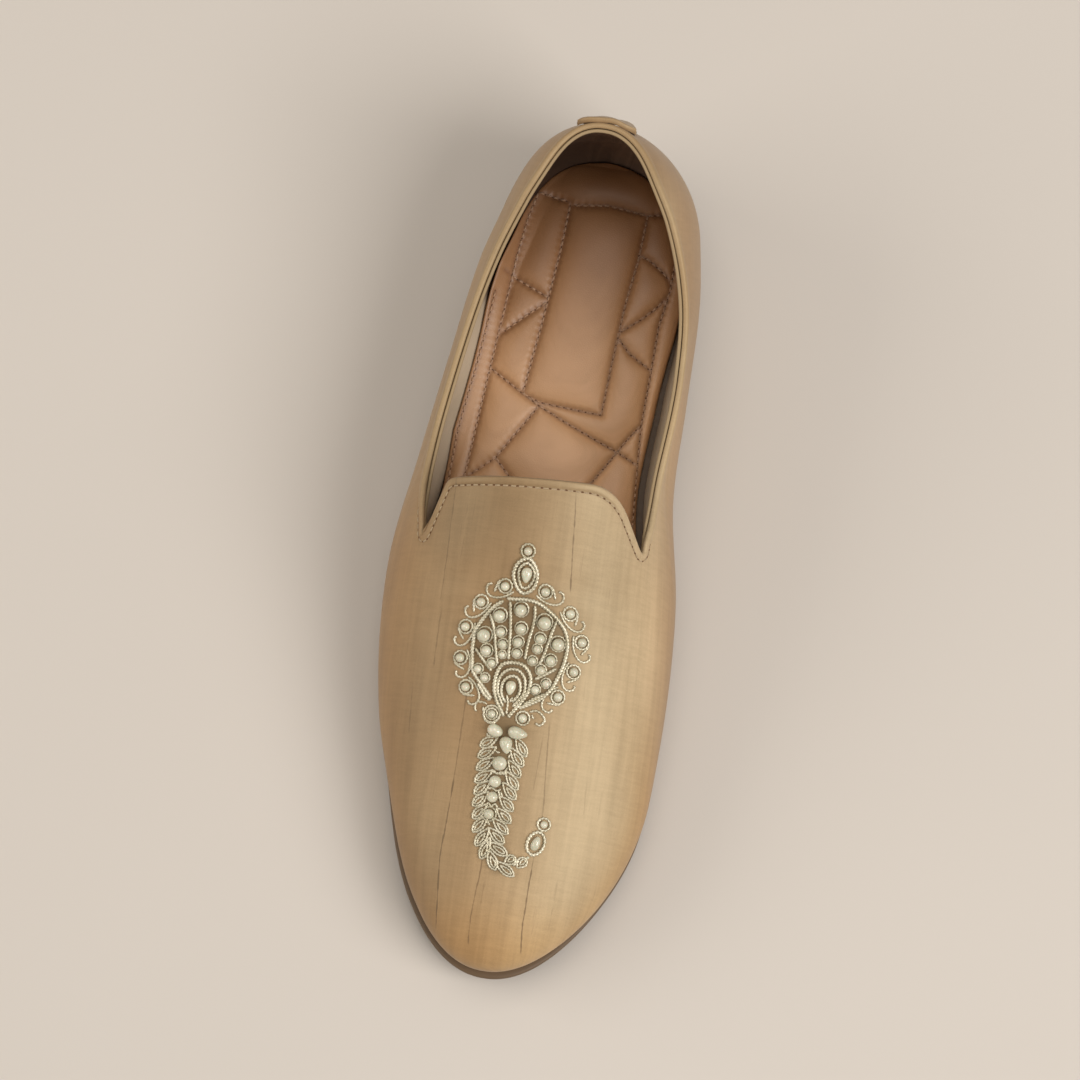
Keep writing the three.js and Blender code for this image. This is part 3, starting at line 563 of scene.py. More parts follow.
def leather_material():
    """The insole's padded leatherette: satin, finely grained, with painted shade in the sewn channels
    and painted light and shade along and across it.
    """
    shader = Shader("insole_leatherette")
    place = shader.cloth()
    soft = place.noise(0.05, 0.05, seed=9.0).step(0.3, 0.7)
    tone = soft.blend((0.47, 0.255, 0.135), (0.54, 0.30, 0.165))
    tone = shader.mark("strip").blend(tone, (0.48, 0.262, 0.142))
    # Painted shade and light: darker toward the heel and lighter toward the front, then lighter toward
    # the inner side.
    painted_light_and_shade = place.axis(1).step(-24.0, -84.0).blend((0.71, 0.60, 0.46), (1.18, 1.20, 1.15))
    tone = tone.tinted(painted_light_and_shade)
    painted_light_and_shade = place.axis(0).step(-20.0, 18.0).blend((0.90, 0.92, 0.90), (1.26, 1.31, 1.30))
    tone = tone.tinted(painted_light_and_shade)
    # Painted shade in the sewn channels, by closeness to the sewn lines.
    tone = (shader.mark("dip") * 0.7).blend(tone, (0.24, 0.115, 0.06))
    pores = place.noise(3.0, 3.0)
    inputs = {"Vector": place, "Scale": 1.7, "Randomness": 1.0}
    grain = shader.node("TexVoronoi", inputs, "Distance", feature="DISTANCE_TO_EDGE")
    height = grain.step(0.0, 0.25) + pores * 0.5
    return shader.made(
        Base_Color=tone, Normal=height.bump(0.035, 0.6), Roughness=pores * 0.18 + 0.34,
        Specular_IOR_Level=0.5, Coat_Weight=0.15, Coat_Roughness=0.3,
    )


def rubber_material(name, dark, light):
    """Moulded sole: satin brown, with a mark that darkens its lower layer and paints shade into its
    step and the heel's groove.
    """
    shader = Shader(name)
    speckle = shader.cloth().noise(0.9, 0.9, 0.9, detail=4.0)
    scuff = shader.cloth().noise(0.1, 0.1, 0.4, detail=5.0, roughness=0.7, seed=2.0)
    tone = shader.mark("layer").blend(dark, light)
    return shader.made(
        Base_Color=(scuff.step(0.5, 0.75) * 0.3).blend(tone, light),
        Normal=speckle.bump(0.05, 0.4), Roughness=speckle * 0.25 + 0.4, Specular_IOR_Level=0.45,
    )


def wire_material():
    """Fine coiled metal wire, silvery beige, slightly tarnished."""
    shader = Shader("coiled_wire")
    soft = shader.cloth().noise(0.35, 0.35, 0.35)
    tone = soft.step(0.35, 0.65).blend((0.56, 0.51, 0.37), (0.74, 0.69, 0.54))
    return shader.made(Base_Color=tone, Roughness=soft * 0.2 + 0.28, Metallic=0.55)


def pearl_material():
    """Cream pearl beads with a soft lustre under a clear coat."""
    shader = Shader("pearl")
    soft = shader.cloth().noise(0.25, 0.25, 0.25, detail=2.0).step(0.35, 0.65)
    glance = shader.node("LayerWeight", {"Blend": 0.3}, "Facing")
    return shader.made(
        Base_Color=soft.blend((0.56, 0.535, 0.395), (0.69, 0.665, 0.52)),
        Roughness=glance * 0.2 + 0.22, Specular_IOR_Level=0.6, Coat_Weight=0.7,
        Coat_Roughness=0.12, Subsurface_Weight=0.12, Subsurface_Scale=0.001,
    )


def thread_material(name, dark, light):
    """Sewing thread: a tight two-ply twist in its bump."""
    shader = Shader(name)
    ply = shader.cloth().noise(2.2, 2.2, 2.2, detail=2.0)
    return shader.made(
        Base_Color=ply.step(0.35, 0.65).blend(dark, light), Normal=ply.bump(0.05, 0.6),
        Roughness=0.6, Sheen_Weight=0.3,
    )


def hole_material():
    """The shade inside a needle hole."""
    shader = Shader("needle_hole")
    soft = shader.cloth().noise(0.5, 0.5, 0.5, detail=2.0)
    tone = soft.blend((0.12, 0.065, 0.035), (0.20, 0.11, 0.06))
    return shader.made(Base_Color=tone, Roughness=0.9, Specular_IOR_Level=0.1)


SILK = silk_material("raw_silk", slubbed=True)
SILK_STRIP = silk_material("raw_silk_strip", slubbed=False)
LINING = lining_material()
LEATHER = leather_material()
SOLE = rubber_material("sole_rubber", (0.085, 0.05, 0.026), (0.14, 0.088, 0.046))
HEEL = rubber_material("heel_rubber", (0.06, 0.034, 0.018), (0.11, 0.066, 0.034))
WIRE = wire_material()
PEARL = pearl_material()
TAB_THREAD = thread_material("silk_thread", (0.36, 0.26, 0.15), (0.46, 0.34, 0.20))
INSOLE_THREAD = thread_material("insole_thread", (0.38, 0.22, 0.125), (0.52, 0.325, 0.19))
HOLE = hole_material()

# ---- the upper's wall: one grid of places that silk, lining and stitches share ----

QUARTER_COLUMNS, FRONT_COLUMNS = 124, 216
TUCK_ROWS, WALL_ROWS = 5, 78
# Rows at these distances from the opening's edge.
EDGE_ROWS = [5.2, 4.4, 3.8, 3.3, 2.9, 2.6, 2.35, 2.1, 1.8, 1.4, 1.0, 0.65, 0.35, 0.15, 0.0]
NOTCH_ROUND, NOTCH_DEEPER = 2.6, 1.1  # the fold's rounding at the bottom of each notch


def rounded(corners, rounds):
    """A path in plan through corners, each rounded over the given length."""
    t = np.linspace(0, 1, 24)[:, None]
    path = [corners[:1]]
    for before, corner, after, length in zip(corners, corners[1:], corners[2:], rounds):
        start = corner + unit(before - corner) * length
        end = corner + unit(after - corner) * length
        path.append((1 - t) ** 2 * start + 2 * t * (1 - t) * corner + t**2 * end)
    path = np.concatenate([*path, corners[-1:]])
    return resample(path, path, 2400)


def quarter_top(side, at):
    """The turn of the opening's edge on one side."""
    return turn_at_height(at, through(TOPLINE, "height", at), side)


def notch_corners(side, notch, corner):
    """The end of the quarter's edge and the notch's bottom, in plan."""
    at = np.array([notch - NOTCH_ROUND - 0.6, notch])
    end, bottom = np.stack([surface(at, quarter_top(side, at))[:, 0], at], 1)
    return end, bottom - unit(end + corner - 2 * bottom) * NOTCH_DEEPER


def front_path():
    """The opening's edge round the vamp's tab, in plan, from the outer quarter to the inner."""
    corners = np.array(TAB_CORNERS)
    plan = corners[:, :2]
    start, outer = notch_corners(-1, OUTER_NOTCH, plan[0])
    end, inner = notch_corners(1, INNER_NOTCH, plan[1])
    rounds = [NOTCH_ROUND, *corners[:, 2], NOTCH_ROUND]
    return rounded(np.array([start, outer, *plan, inner, end]), rounds)


FRONT_PATH = front_path()
QUARTERS = [(-1, OUTER_NOTCH, FRONT_PATH[0, 1]), (1, INNER_NOTCH, FRONT_PATH[-1, 1])]


def outline_places(side, start, end):
    """Dense places of the widest outline, crowded at its ends: at, x and side."""
    share = (1 - np.cos(np.pi * np.linspace(0, 1, 1200))) / 2
    at = start + (end - start) * share
    return np.stack([at, outline_x(at, side), np.full_like(at, side)], 1)


def wall_columns():
    """Each column joins a place of the widest outline to the opening's edge.

    The rows of the result are the foot's at, x and side, the top's at, x and turn, and 1 in front.
    """
    quarters = []
    for side, notch, end in QUARTERS:
        at = np.linspace(0, end, 900)
        tops = np.stack([at, quarter_top(side, at)], 1)
        at, turn = resample(tops, surface(*tops.T), QUARTER_COLUMNS).T
        feet = outline_places(side, 0, notch)
        feet = resample(feet, feet[:, :2], QUARTER_COLUMNS)
        x = surface(at, turn)[:, 0]
        quarters.append(np.column_stack([feet, at, x, turn, np.zeros(len(x))]))
    outer = outline_places(-1, OUTER_NOTCH, LENGTH)
    inner = outline_places(1, INNER_NOTCH, LENGTH)
    feet = np.concatenate([outer, inner[-2::-1]])
    feet = resample(feet, feet[:, :2], FRONT_COLUMNS)
    feet[:, 2] = np.sign(feet[:, 1] - last("centre", feet[:, 0]))
    path = resample(FRONT_PATH, on_top(FRONT_PATH[:, 1], FRONT_PATH[:, 0]), FRONT_COLUMNS)
    x, at = path.T
    front = np.column_stack([feet, at, x, turn_across(at, x), np.ones(len(x))])
    ring = np.concatenate([quarters[0][:-1], front, quarters[1][-2:0:-1]])
    return ring.T[..., None]


def column_places(columns, share):
    """Places on the columns at shares from 0, the widest level, to 1, the opening's edge."""
    foot_at, foot_x, side, top_at, top_x, top_turn, front = columns
    start = np.where(side < 0, 0.0, np.pi)
    turn = start + (top_turn - start) * share
    slant = np.minimum(top_turn, np.pi - top_turn)
    front_share = (1 - np.cos(slant * share)) / (1 - np.cos(slant))
    x = foot_x + (top_x - foot_x) * front_share
    at = foot_at + (top_at - foot_at) * np.where(front, front_share, share)
    return at, np.where(front, turn_across(at, x), turn)


def wall_grid():
    """The wall's points, normals and cloth places, and 1 where its edge is folded in a band."""
    columns = wall_columns()
    foot_at, foot_x, side, top_at, *_, front = columns
    fine = np.linspace(0, 1, 401)
    lengths = lengths_along(surface(*column_places(columns, fine)))
    total = lengths[:, -1:]
    low = (total - EDGE_ROWS[0] - 0.9) * np.linspace(0, 1, WALL_ROWS) ** 1.25
    goals = np.concatenate([low, total - np.array(EDGE_ROWS)], 1)
    share = np.stack([np.interp(goal, row, fine) for goal, row in zip(goals, lengths)])
    at, turn = column_places(columns, share)

    down = 1 - np.arange(TUCK_ROWS) / TUCK_ROWS
    drop = last("cheek", foot_at) * down
    tucks = [last(key, foot_at) for key in ("tuck_out", "tuck_in")]
    feet = np.concatenate([foot_x, foot_at], 1)
    along = np.roll(feet, -1, 0) - np.roll(feet, 1, 0)
    out = unit(np.stack([-along[:, 1], along[:, 0]], 1))
    tucked = out[:, None] * (np.where(side < 0, *tucks) * down**2)[..., None]
    points = lifted(feet[:, None] - tucked, widest_level(foot_at) - drop)
    points = np.concatenate([points, surface(at, turn)], 1)

    low_turn = np.where(side < 0, 0.0, np.pi)
    low = [np.repeat(values, TUCK_ROWS, 1) for values in (foot_at, low_turn)]
    cloth = cloth_place(*(np.concatenate(pair, 1) for pair in zip(low, (at, turn))))
    cloth[:, :TUCK_ROWS, 0] += drop * side
    along = np.roll(points, -1, 0) - np.roll(points, 1, 0)
    normals = unit(np.cross(along, np.gradient(points, axis=1)))
    trust = (smooth(at, 80, 95) * smooth(at, 200, 180))[..., None]
    true = facing(surface, at, turn, 0.01)
    normals[:, TUCK_ROWS:] = unit(normals[:, TUCK_ROWS:] * (1 - trust) + true * trust)
    return points, normals, cloth, np.where(front, 0.0, smooth(top_at, 127.0, 117.0))


WALL_POINTS, WALL_NORMALS, WALL_CLOTH, BANDED = wall_grid()
ROWS = WALL_POINTS.shape[1]
ABOVE_TUCK = range(TUCK_ROWS, ROWS - len(EDGE_ROWS))


def edge_distance():
    """Each place's distance from the opening's edge, where it is near."""
    loop = np.concatenate([WALL_POINTS[:, -1], WALL_POINTS[:1, -1]])
    tree = tree_of(resample(loop, loop, 9000))
    distance = np.full(WALL_POINTS.shape[:2], 20.0)
    for j in range(ROWS - len(EDGE_ROWS) - 14, ROWS - 1):
        distance[:, j] = [tree.find(point)[2] for point in WALL_POINTS[:, j]]
    distance[:, -1] = 0.0
    return distance


EDGE_DISTANCE = edge_distance()

# The ornament's middle on the vamp; its places are (s, t) from there: s toward the toe and t to
# the inner side, seen from above.
ORNAMENT_AT, ORNAMENT_X = 160.2, -0.6
RIM_MIDDLE = (0.6, 0.7)
STEM_LINE = [(21.5, 0.6), (40.0, 0.2), (50.0, 0.4), (55.5, 1.6), (58.6, 4.4)]

SILK_LAYER, LINING_LAYER = 1.2, 1.0
BAND_WIDTH, BAND_HEIGHT = 2.3, 0.45
HEM_WIDTH, HEM_HEIGHT, HEM_DIP = 2.4, 0.22, 0.2
SILK_ROLL, LINING_ROLL = 0.75, 0.5
LINING_LOWER = 1.3  # how far the lining's edge lies below the silk's round the vamp's tab

# Soft troughs and ridges pressed in: place across and along the cloth, the direction's
# angle from crosswise, half length, half width and height (below 0 for a trough).
CREASES = [
    (12, 141, 8, 17, 2.6, -0.20), (14, 147, 6, 15, 3.0, 0.14), (-16, 142, -12, 15, 2.8, -0.18),
    (-19, 149, -8, 14, 3.2, 0.14), (29, 138, 24, 9, 2.2, -0.22), (-33, 143, -28, 9, 2.2, -0.20),
    (48, 96, 80, 22, 3.4, -0.28), (44, 58, 78, 20, 4.0, -0.22), (-50, 92, 100, 24, 3.4, -0.26),
    (-46, 52, 102, 20, 4.0, -0.22), (52, 118, 62, 16, 3.0, 0.20), (-54, 118, 118, 16, 3.0, 0.20),
    (40, 176, 70, 24, 4.0, -0.16), (-40, 178, 112, 24, 4.0, -0.16), (20, 226, 20, 12, 3.0, -0.10),
    (-16, 230, -24, 12, 3.0, -0.10),
]
# Painted light and shade: broad soft spots where the cloth is made lighter or darker to follow the
# light; the same columns, the last one saying how much lighter.
SHADES = [
    (-15, 124, 0, 15, 17, -0.24), (6, 114, 0, 12, 12, -0.08), (-28, 176, 0, 12, 22, -0.08),
    (14, 240, 0, 16, 12, 0.14), (8, 224, 0, 10, 10, 0.10), (-20, 224, 0, 12, 16, -0.08),
    (22, 140, 0, 12, 20, -0.11), (44, 148, 0, 12, 22, 0.16), (-42, 142, 0, 10, 24, 0.10),
    (-52, 66, 0, 18, 44, 0.12), (60, 92, 0, 20, 18, 0.20), (-28, 130, 0, 10, 10, -0.08),
]
# Folds of the lining behind the heel: height, half width and depth.
HEEL_FOLDS = [(26.0, 2.4, -0.5), (33.0, 2.2, 0.7), (38.5, 1.6, -0.8), (46.0, 3.0, 0.4)]


def soft_spots(cloth, spots):
    """The sum of soft oval spots at places of the cloth."""
    total = np.zeros(cloth.shape[:-1])
    for across, along, angle, length, width, height in spots:
        cosine, sine = cosine_sine(angle)
        dx, dy = cloth[..., 0] - across, cloth[..., 1] - along
        run, off = (dx * cosine + dy * sine) / length, (dy * cosine - dx * sine) / width
        total += height * np.exp(-(run**2) - off**2)
    return total


def ornament_ground(points):
    """1 under the ornament's medallion and stem, where the silk is shaded by its wires."""
    place = np.stack([-points[:, 1] - ORNAMENT_AT, points[:, 0] - ORNAMENT_X], 1)
    disc = smooth(np.linalg.norm(place - RIM_MIDDLE, axis=1), 15.0, 12.6)
    line = resample(np.array(STEM_LINE), np.array(STEM_LINE), 60)
    away = np.linalg.norm(place[:, None] - line, axis=2).min(1)
    return np.maximum(disc, smooth(away, 4.6, 2.4)) * (points[:, 2] > 12)


def edge_curl(distance, roll):
    """0 beyond the rolled edge and 1 where it ends, round a quarter turn."""
    return 1 - np.sqrt(1 - np.clip(1 - distance / roll, 0, 1) ** 2)


def folded(outer, inner, rows):
    """Closed sections up the outer rows and back down the chosen inner ones."""
    return np.concatenate([outer, inner[:, rows][:, ::-1]], 1)


def make_silk():
    """The silk layer: a closed shell whose edge is folded over and rolled."""
    d = EDGE_DISTANCE
    band = BAND_HEIGHT * smooth(d, BAND_WIDTH + 0.25, BAND_WIDTH - 0.2)
    band *= 0.86 + 0.14 * np.cos((d / BAND_WIDTH - 0.5) * np.pi)
    hem = HEM_HEIGHT * smooth(d, HEM_WIDTH, HEM_WIDTH - 0.7)
    hem -= HEM_DIP * np.exp(-(((d - HEM_WIDTH) / 0.5) ** 2))
    raised = band * BANDED + hem * (1 - BANDED)
    curl = edge_curl(d, SILK_ROLL)
    waves = soft_spots(WALL_CLOTH, CREASES) * smooth(d, 1.5, 7.0)
    waves[:, :TUCK_ROWS] *= np.linspace(0, 1, TUCK_ROWS)
    heights = raised - (raised + SILK_LAYER / 2) * curl, SILK_LAYER / 2 * curl - SILK_LAYER
    outer, inner = (WALL_POINTS + WALL_NORMALS * (h + waves)[..., None] for h in heights)
    rows = [0, 2, *ABOVE_TUCK[::9], *range(ROWS - 10, ROWS - 1)]
    body = body_of(folded(outer, inner, rows), ring=True)
    cloth = folded(WALL_CLOTH, WALL_CLOTH, rows)
    rim = smooth(d, BAND_WIDTH + 0.3, BAND_WIDTH - 0.3) * BANDED
    piece = add_piece(
        "upper_silk", body, SILK, "silk", cloth=cloth, ground=ornament_ground(body[0]),
        rim=folded(rim, rim, rows), shade=1 + soft_spots(cloth, SHADES),
    )
    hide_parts("upper")


def make_lining():
    """The lining: a closed shell inside the silk, level with its edge along the quarters."""
    rows = [*range(TUCK_ROWS), *ABOVE_TUCK[::3], *range(ROWS - 13, ROWS)]
    points, normals, cloth = WALL_POINTS[:, rows], WALL_NORMALS[:, rows], WALL_CLOTH[:, rows]
    d = EDGE_DISTANCE[:, rows]
    lower = LINING_LOWER * (1 - BANDED) * np.exp(-d / 3.0)
    points = points - unit(np.gradient(points, axis=1)) * lower[..., None]
    folds = np.zeros_like(d)
    for height, width, depth in HEEL_FOLDS:
        sway = 2.0 * np.sin(cloth[..., 0] / 9.0 + height)
        folds += depth * np.exp(-(((points[..., 2] - height - sway) / width) ** 2))
    folds *= smooth(cloth[..., 1], 34, 12) * smooth(d, 3, 9)
    half = LINING_LAYER / 2 * (1 - edge_curl(d, LINING_ROLL))
    middle = -WALL + LINING_LAYER / 2
    pressed = np.abs(folds) * 0.2 - np.minimum(folds, 0) * 0.2 + np.maximum(folds, 0)
    heights = middle + half, middle - half - pressed
    outer, inner = (points + normals * h[..., None] for h in heights)
    rows = slice(-1)
    heel = smooth(cloth[..., 1], 56, 49) * smooth(d, 0.4, 1.0)
    add_piece(
        "upper_lining", body_of(folded(outer, inner, rows), ring=True), LINING, "lining",
        cloth=folded(cloth, cloth, rows), heel=folded(0 * heel, heel, rows),
        edge=smooth(folded(d, d, rows), 2.6, 1.6),
    )


# ---- sole and heel ----


def outline_normals(at, side):
    """The widest outline on one side, in plan, with its outward normals."""
    low, high = np.maximum(at - 0.02, 0), np.minimum(at + 0.02, LENGTH)
    rise = outline_x(high, side) - outline_x(low, side)
    normals = unit(np.stack([side * (high - low), -side * rise], 1))
    normals[at < 1e-6] = (0, -1)
    normals[at > LENGTH - 1e-6] = (0, 1)
    return np.stack([outline_x(at, side), at], 1), normals


def sole_layer(end, count, edge, capped):
    """A sole's layer from the heel to its end, and how light each point is.

    edge(at) gives the lines of its edge: how far out they are, their height and how light.
    """
    outer = outline_places(-1, 0, end)
    at = resample(outer, outer[:, :2], count)[:, 0]
    sides = []
    for side, tuck in ((-1, "tuck_out"), (1, "tuck_in")):
        places, normals = outline_normals(at, side)
        welt = (last("welt", at) - last(tuck, at))[:, None]
        lines = [lifted(places + normals * (welt + out), z) for out, z, _ in edge(at)]
        sides.append(np.stack(lines, 1))
    light = [light for *_, light in edge(at)]
    body = body_of(np.concatenate([sides[0], sides[1][:, ::-1]], 1), capped=capped)
    return body, np.tile(light + light[::-1], len(at))


def outsole_edge(at):
    top = last("feather", at) - GAP
    bottom = np.maximum(top - SOLE_THICKNESS, 0)
    seam = bottom + (top - bottom) * SOLE_SEAM
    # The last number says how light each line is: darkest under the seam's step, as painted shade, and
    # darker on the lower layer.
    return [
        (-5.0, top, 0.9), (-1.2, top, 0.9), (-0.45, top - 0.03, 1.0), (-0.12, top - 0.18, 1.0),
        (0.0, top - 0.5, 0.85), (0.0, seam + 0.3, 0.8), (-0.15, seam + 0.08, 0.0),
        (-SOLE_STEP, seam, 0.0), (-SOLE_STEP, seam - 0.15, 0.25), (-SOLE_STEP, bottom + 0.5, 0.25),
        (-SOLE_STEP - 0.15, bottom + 0.15, 0.2), (-SOLE_STEP - 0.6, bottom, 0.1),
    ]


def heel_edge(at):
    """The block's edge, with the groove above its tread."""
    top = last("feather", at) - GAP - SOLE_THICKNESS - GAP
    out, groove = -HEEL_SETBACK, -HEEL_SETBACK - HEEL_TAPER / 2
    # The groove's lines are darkest, as painted shade.
    return [
        (out - 1.0, top, 0.6), (out, top - 0.05, 0.6), (out, top - 0.5, 0.6), (groove, 2.2, 0.6),
        (groove, 2.0, 0.5), (groove - 0.25, 1.9, 0.0), (groove - 0.25, 1.7, 0.0),
        (groove - 0.1, 1.6, 0.3), (out - HEEL_TAPER * 0.8, 0.4, 0.3), (out - HEEL_TAPER, 0.0, 0.2),
    ]


def make_outsole():
    body, layer = sole_layer(LENGTH, 260, outsole_edge, capped=False)
    piece = add_piece("outsole_shell", body, SOLE, "outsole", layer=layer)
    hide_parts("outsole")


def make_heel():
    body, layer = sole_layer(HEEL_FRONT, 120, heel_edge, capped=True)
    piece = add_piece("heel_shell", body, HEEL, "heel_block", smooth_faces=False, layer=layer)
    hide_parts("heel")


# ---- the quilted insole ----

# Sewn lines in plan, x and at. The panel's middle is bare.
PANEL = [(-10.6, 19.6), (-11, 34), (-12.6, 56), (-14.7, 78.6), (-9, 80.4), (1, 80.9),
         (9.4, 81.2), (9.9, 66), (10.7, 49), (12.4, 33), (12.9, 19), (1, 17.9),
         (-10.6, 19.6)]
OUTER_LINE = [(-20.6, 17.4), (-22.3, 26), (-23.6, 38), (-24.8, 58), (-26, 78),
              (-27.1, 96), (-28.4, 116), (-29.4, 140)]
QUILT_LINES = [
    PANEL,
    OUTER_LINE,
    [(20.6, 17.4), (23.4, 31), (23.3, 41), (21.8, 52), (21.8, 66), (21.6, 82),
     (22.8, 98), (24.4, 116), (26, 140)],
    [(-20.6, 17.4), (-10.6, 18.6)],
    [(12.9, 19), (20.6, 17.4)],
    [(-12.1, 48.8), (-20, 45.6), (-26, 43.2)],
    [(-12.2, 50), (-18.6, 56), (-24.9, 62.4)],
    [(-24.9, 72.9), (-16.5, 77.6), (-9.3, 81.4), (-0.1, 85.3), (8, 88.4), (15.8, 91.2),
     (22.3, 94)],
    [(-9.3, 81.4), (-14.2, 89.8), (-19.5, 98.7), (-27.4, 106)],
    [(21.6, 82), (18.5, 86.6), (15.8, 91.2), (13.4, 95.6), (6, 108), (2, 122)],
    [(10.4, 57.4), (14.6, 61.6), (18.4, 63.8), (21.8, 65.6)],
    [(11.1, 55.4), (16.5, 50.6), (20.3, 46.4), (23.3, 41.8)],
    [(12.3, 31.6), (15.4, 32.4), (18.6, 34.4), (21.4, 36.4), (23.6, 39.2)],
    [(-19.5, 98.7), (-10, 108), (2, 122)],
]
EDGE_ROW = [(-28, 50), (-28.8, 62), (-29.9, 75), (-31.2, 86), (-32, 94),
            (-32.2, 104), (-32.8, 118), (-33.4, 140)]
STITCH_PITCH = 2.2
QUILT_CELL = 0.4
QUILT_X, QUILT_AT = (np.arange(*span, QUILT_CELL) for span in ((-44.0, 44.0), (0.0, 150.0)))
PUFF_REACH = 4.8  # the padding fills out this far from a sewn line
PUFF_HEIGHT, PANEL_PUFF = 2.9, 0.75  # the bare panel puffs up by this share of the rest
SEWN_DIP, PUCKER_DIP = 0.40, 0.32
QUILT_ROUNDS = 700
INSOLE_INSET = WALL + INSOLE_CLEARANCE

# The insole's border leans out to the lining, and climbs it along the outer side.
BORDER = table("at out climb inside", [
    (0, 2.0, 3.0, 2.0), (12, 2.6, 3.7, 2.0), (20, 3.1, 4.8, 2.2), (30, 3.4, 6.8, 2.2),
    (40, 3.9, 8.2, 1.8), (50, 4.1, 7.6, 1.2), (62, 3.9, 5.6, 0.4), (75, 3.9, 5.0, 0),
    (92, 3.6, 4.5, 0), (100, 2.6, 2.8, 0), (108, 1.7, 1.7, 0), (118, 0.9, 1.0, 0),
    (140, 0, 0.6, 0),
])
CLIMB_WIDTH = 6.0  # the border climbs over this width
BORDER_ROLL = 1.6  # its edge is rounded over this width
INSOLE_STATIONS, INSOLE_DENSE = 360, 300  # stations along the insole, and those of the quilt
INSOLE_POINTS = 119  # across the insole


def sewn_places():
    """Distance to the nearest sewn line and the length along that line, on the quilt's grid."""
    near = np.full((len(QUILT_AT), len(QUILT_X)), 99.0)
    along = np.zeros_like(near)
    reach, step = 9, 0.15
    for line in [*QUILT_LINES, EDGE_ROW]:
        line = np.array(line)
        count = int(lengths_along(line)[-1] / step)
        for k, (x, at) in enumerate(resample(line, line, count)):
            i, j = (int((v - grid[0]) / QUILT_CELL) for v, grid in ((at, QUILT_AT), (x, QUILT_X)))
            window = tuple(slice(max(n - reach, 0), n + reach) for n in (i, j))
            d = np.hypot(QUILT_AT[window[0], None] - at, QUILT_X[window[1]] - x)
            closer = d < near[window]
            near[window] = np.where(closer, d, near[window])
            along[window] = np.where(closer, k * step, along[window])
    return near, along


def quilt_maps():
    """Height of the padding over its sewn lines, and closeness to them, on a plan grid."""
    near, along = sewn_places()
    at, x = QUILT_AT[:, None], QUILT_X
    low = outline_x(at, -1) + last("tuck_out", at) + INSOLE_INSET
    high = outline_x(at, 1) - last("tuck_in", at) - INSOLE_INSET
    free = (x > low) & (x < high) & (at > 6.5) & (near > 0.32)
    slide = at * 0.045
    panel = (x > -11 - slide) & (x < 13.2 - slide) & (at > 19) & (at < 80)
    push = np.where(panel, PANEL_PUFF, 1.0)
    height = np.zeros_like(near)
    screen = (QUILT_CELL / PUFF_REACH) ** 2
    for _ in range(QUILT_ROUNDS):
        total = sum(np.roll(height, shift, axis) for axis in (0, 1) for shift in (1, -1))
        height = np.where(free, (total + screen * push) / (4 + screen), 0.0)
    pucker = np.cos(np.pi * along / STITCH_PITCH) ** 2 * np.exp(-((near / 1.3) ** 2))
    sewn = np.exp(-((near / 0.75) ** 2))
    return PUFF_HEIGHT * height - SEWN_DIP * sewn - PUCKER_DIP * pucker, sewn


QUILT_HEIGHT, QUILT_SEWN = quilt_maps()


def read_quilt(values, x, at):
    return read_grid(values, (at - QUILT_AT[0]) / QUILT_CELL, (x - QUILT_X[0]) / QUILT_CELL)


def insole_stations():
    """Places along the foot, denser over the quilt."""
    outer = outline_places(-1, 0, LENGTH)
    path = resample(outer, outer[:, :2], 4000)[:, 0]
    split = np.searchsorted(path, BORDER["at"][-1]) / len(path)
    rest = np.linspace(split, 1, INSOLE_STATIONS - INSOLE_DENSE + 1)
    stations = np.concatenate([np.linspace(0, split, INSOLE_DENSE, endpoint=False), rest])
    return np.interp(stations, np.linspace(0, 1, len(path)), path)


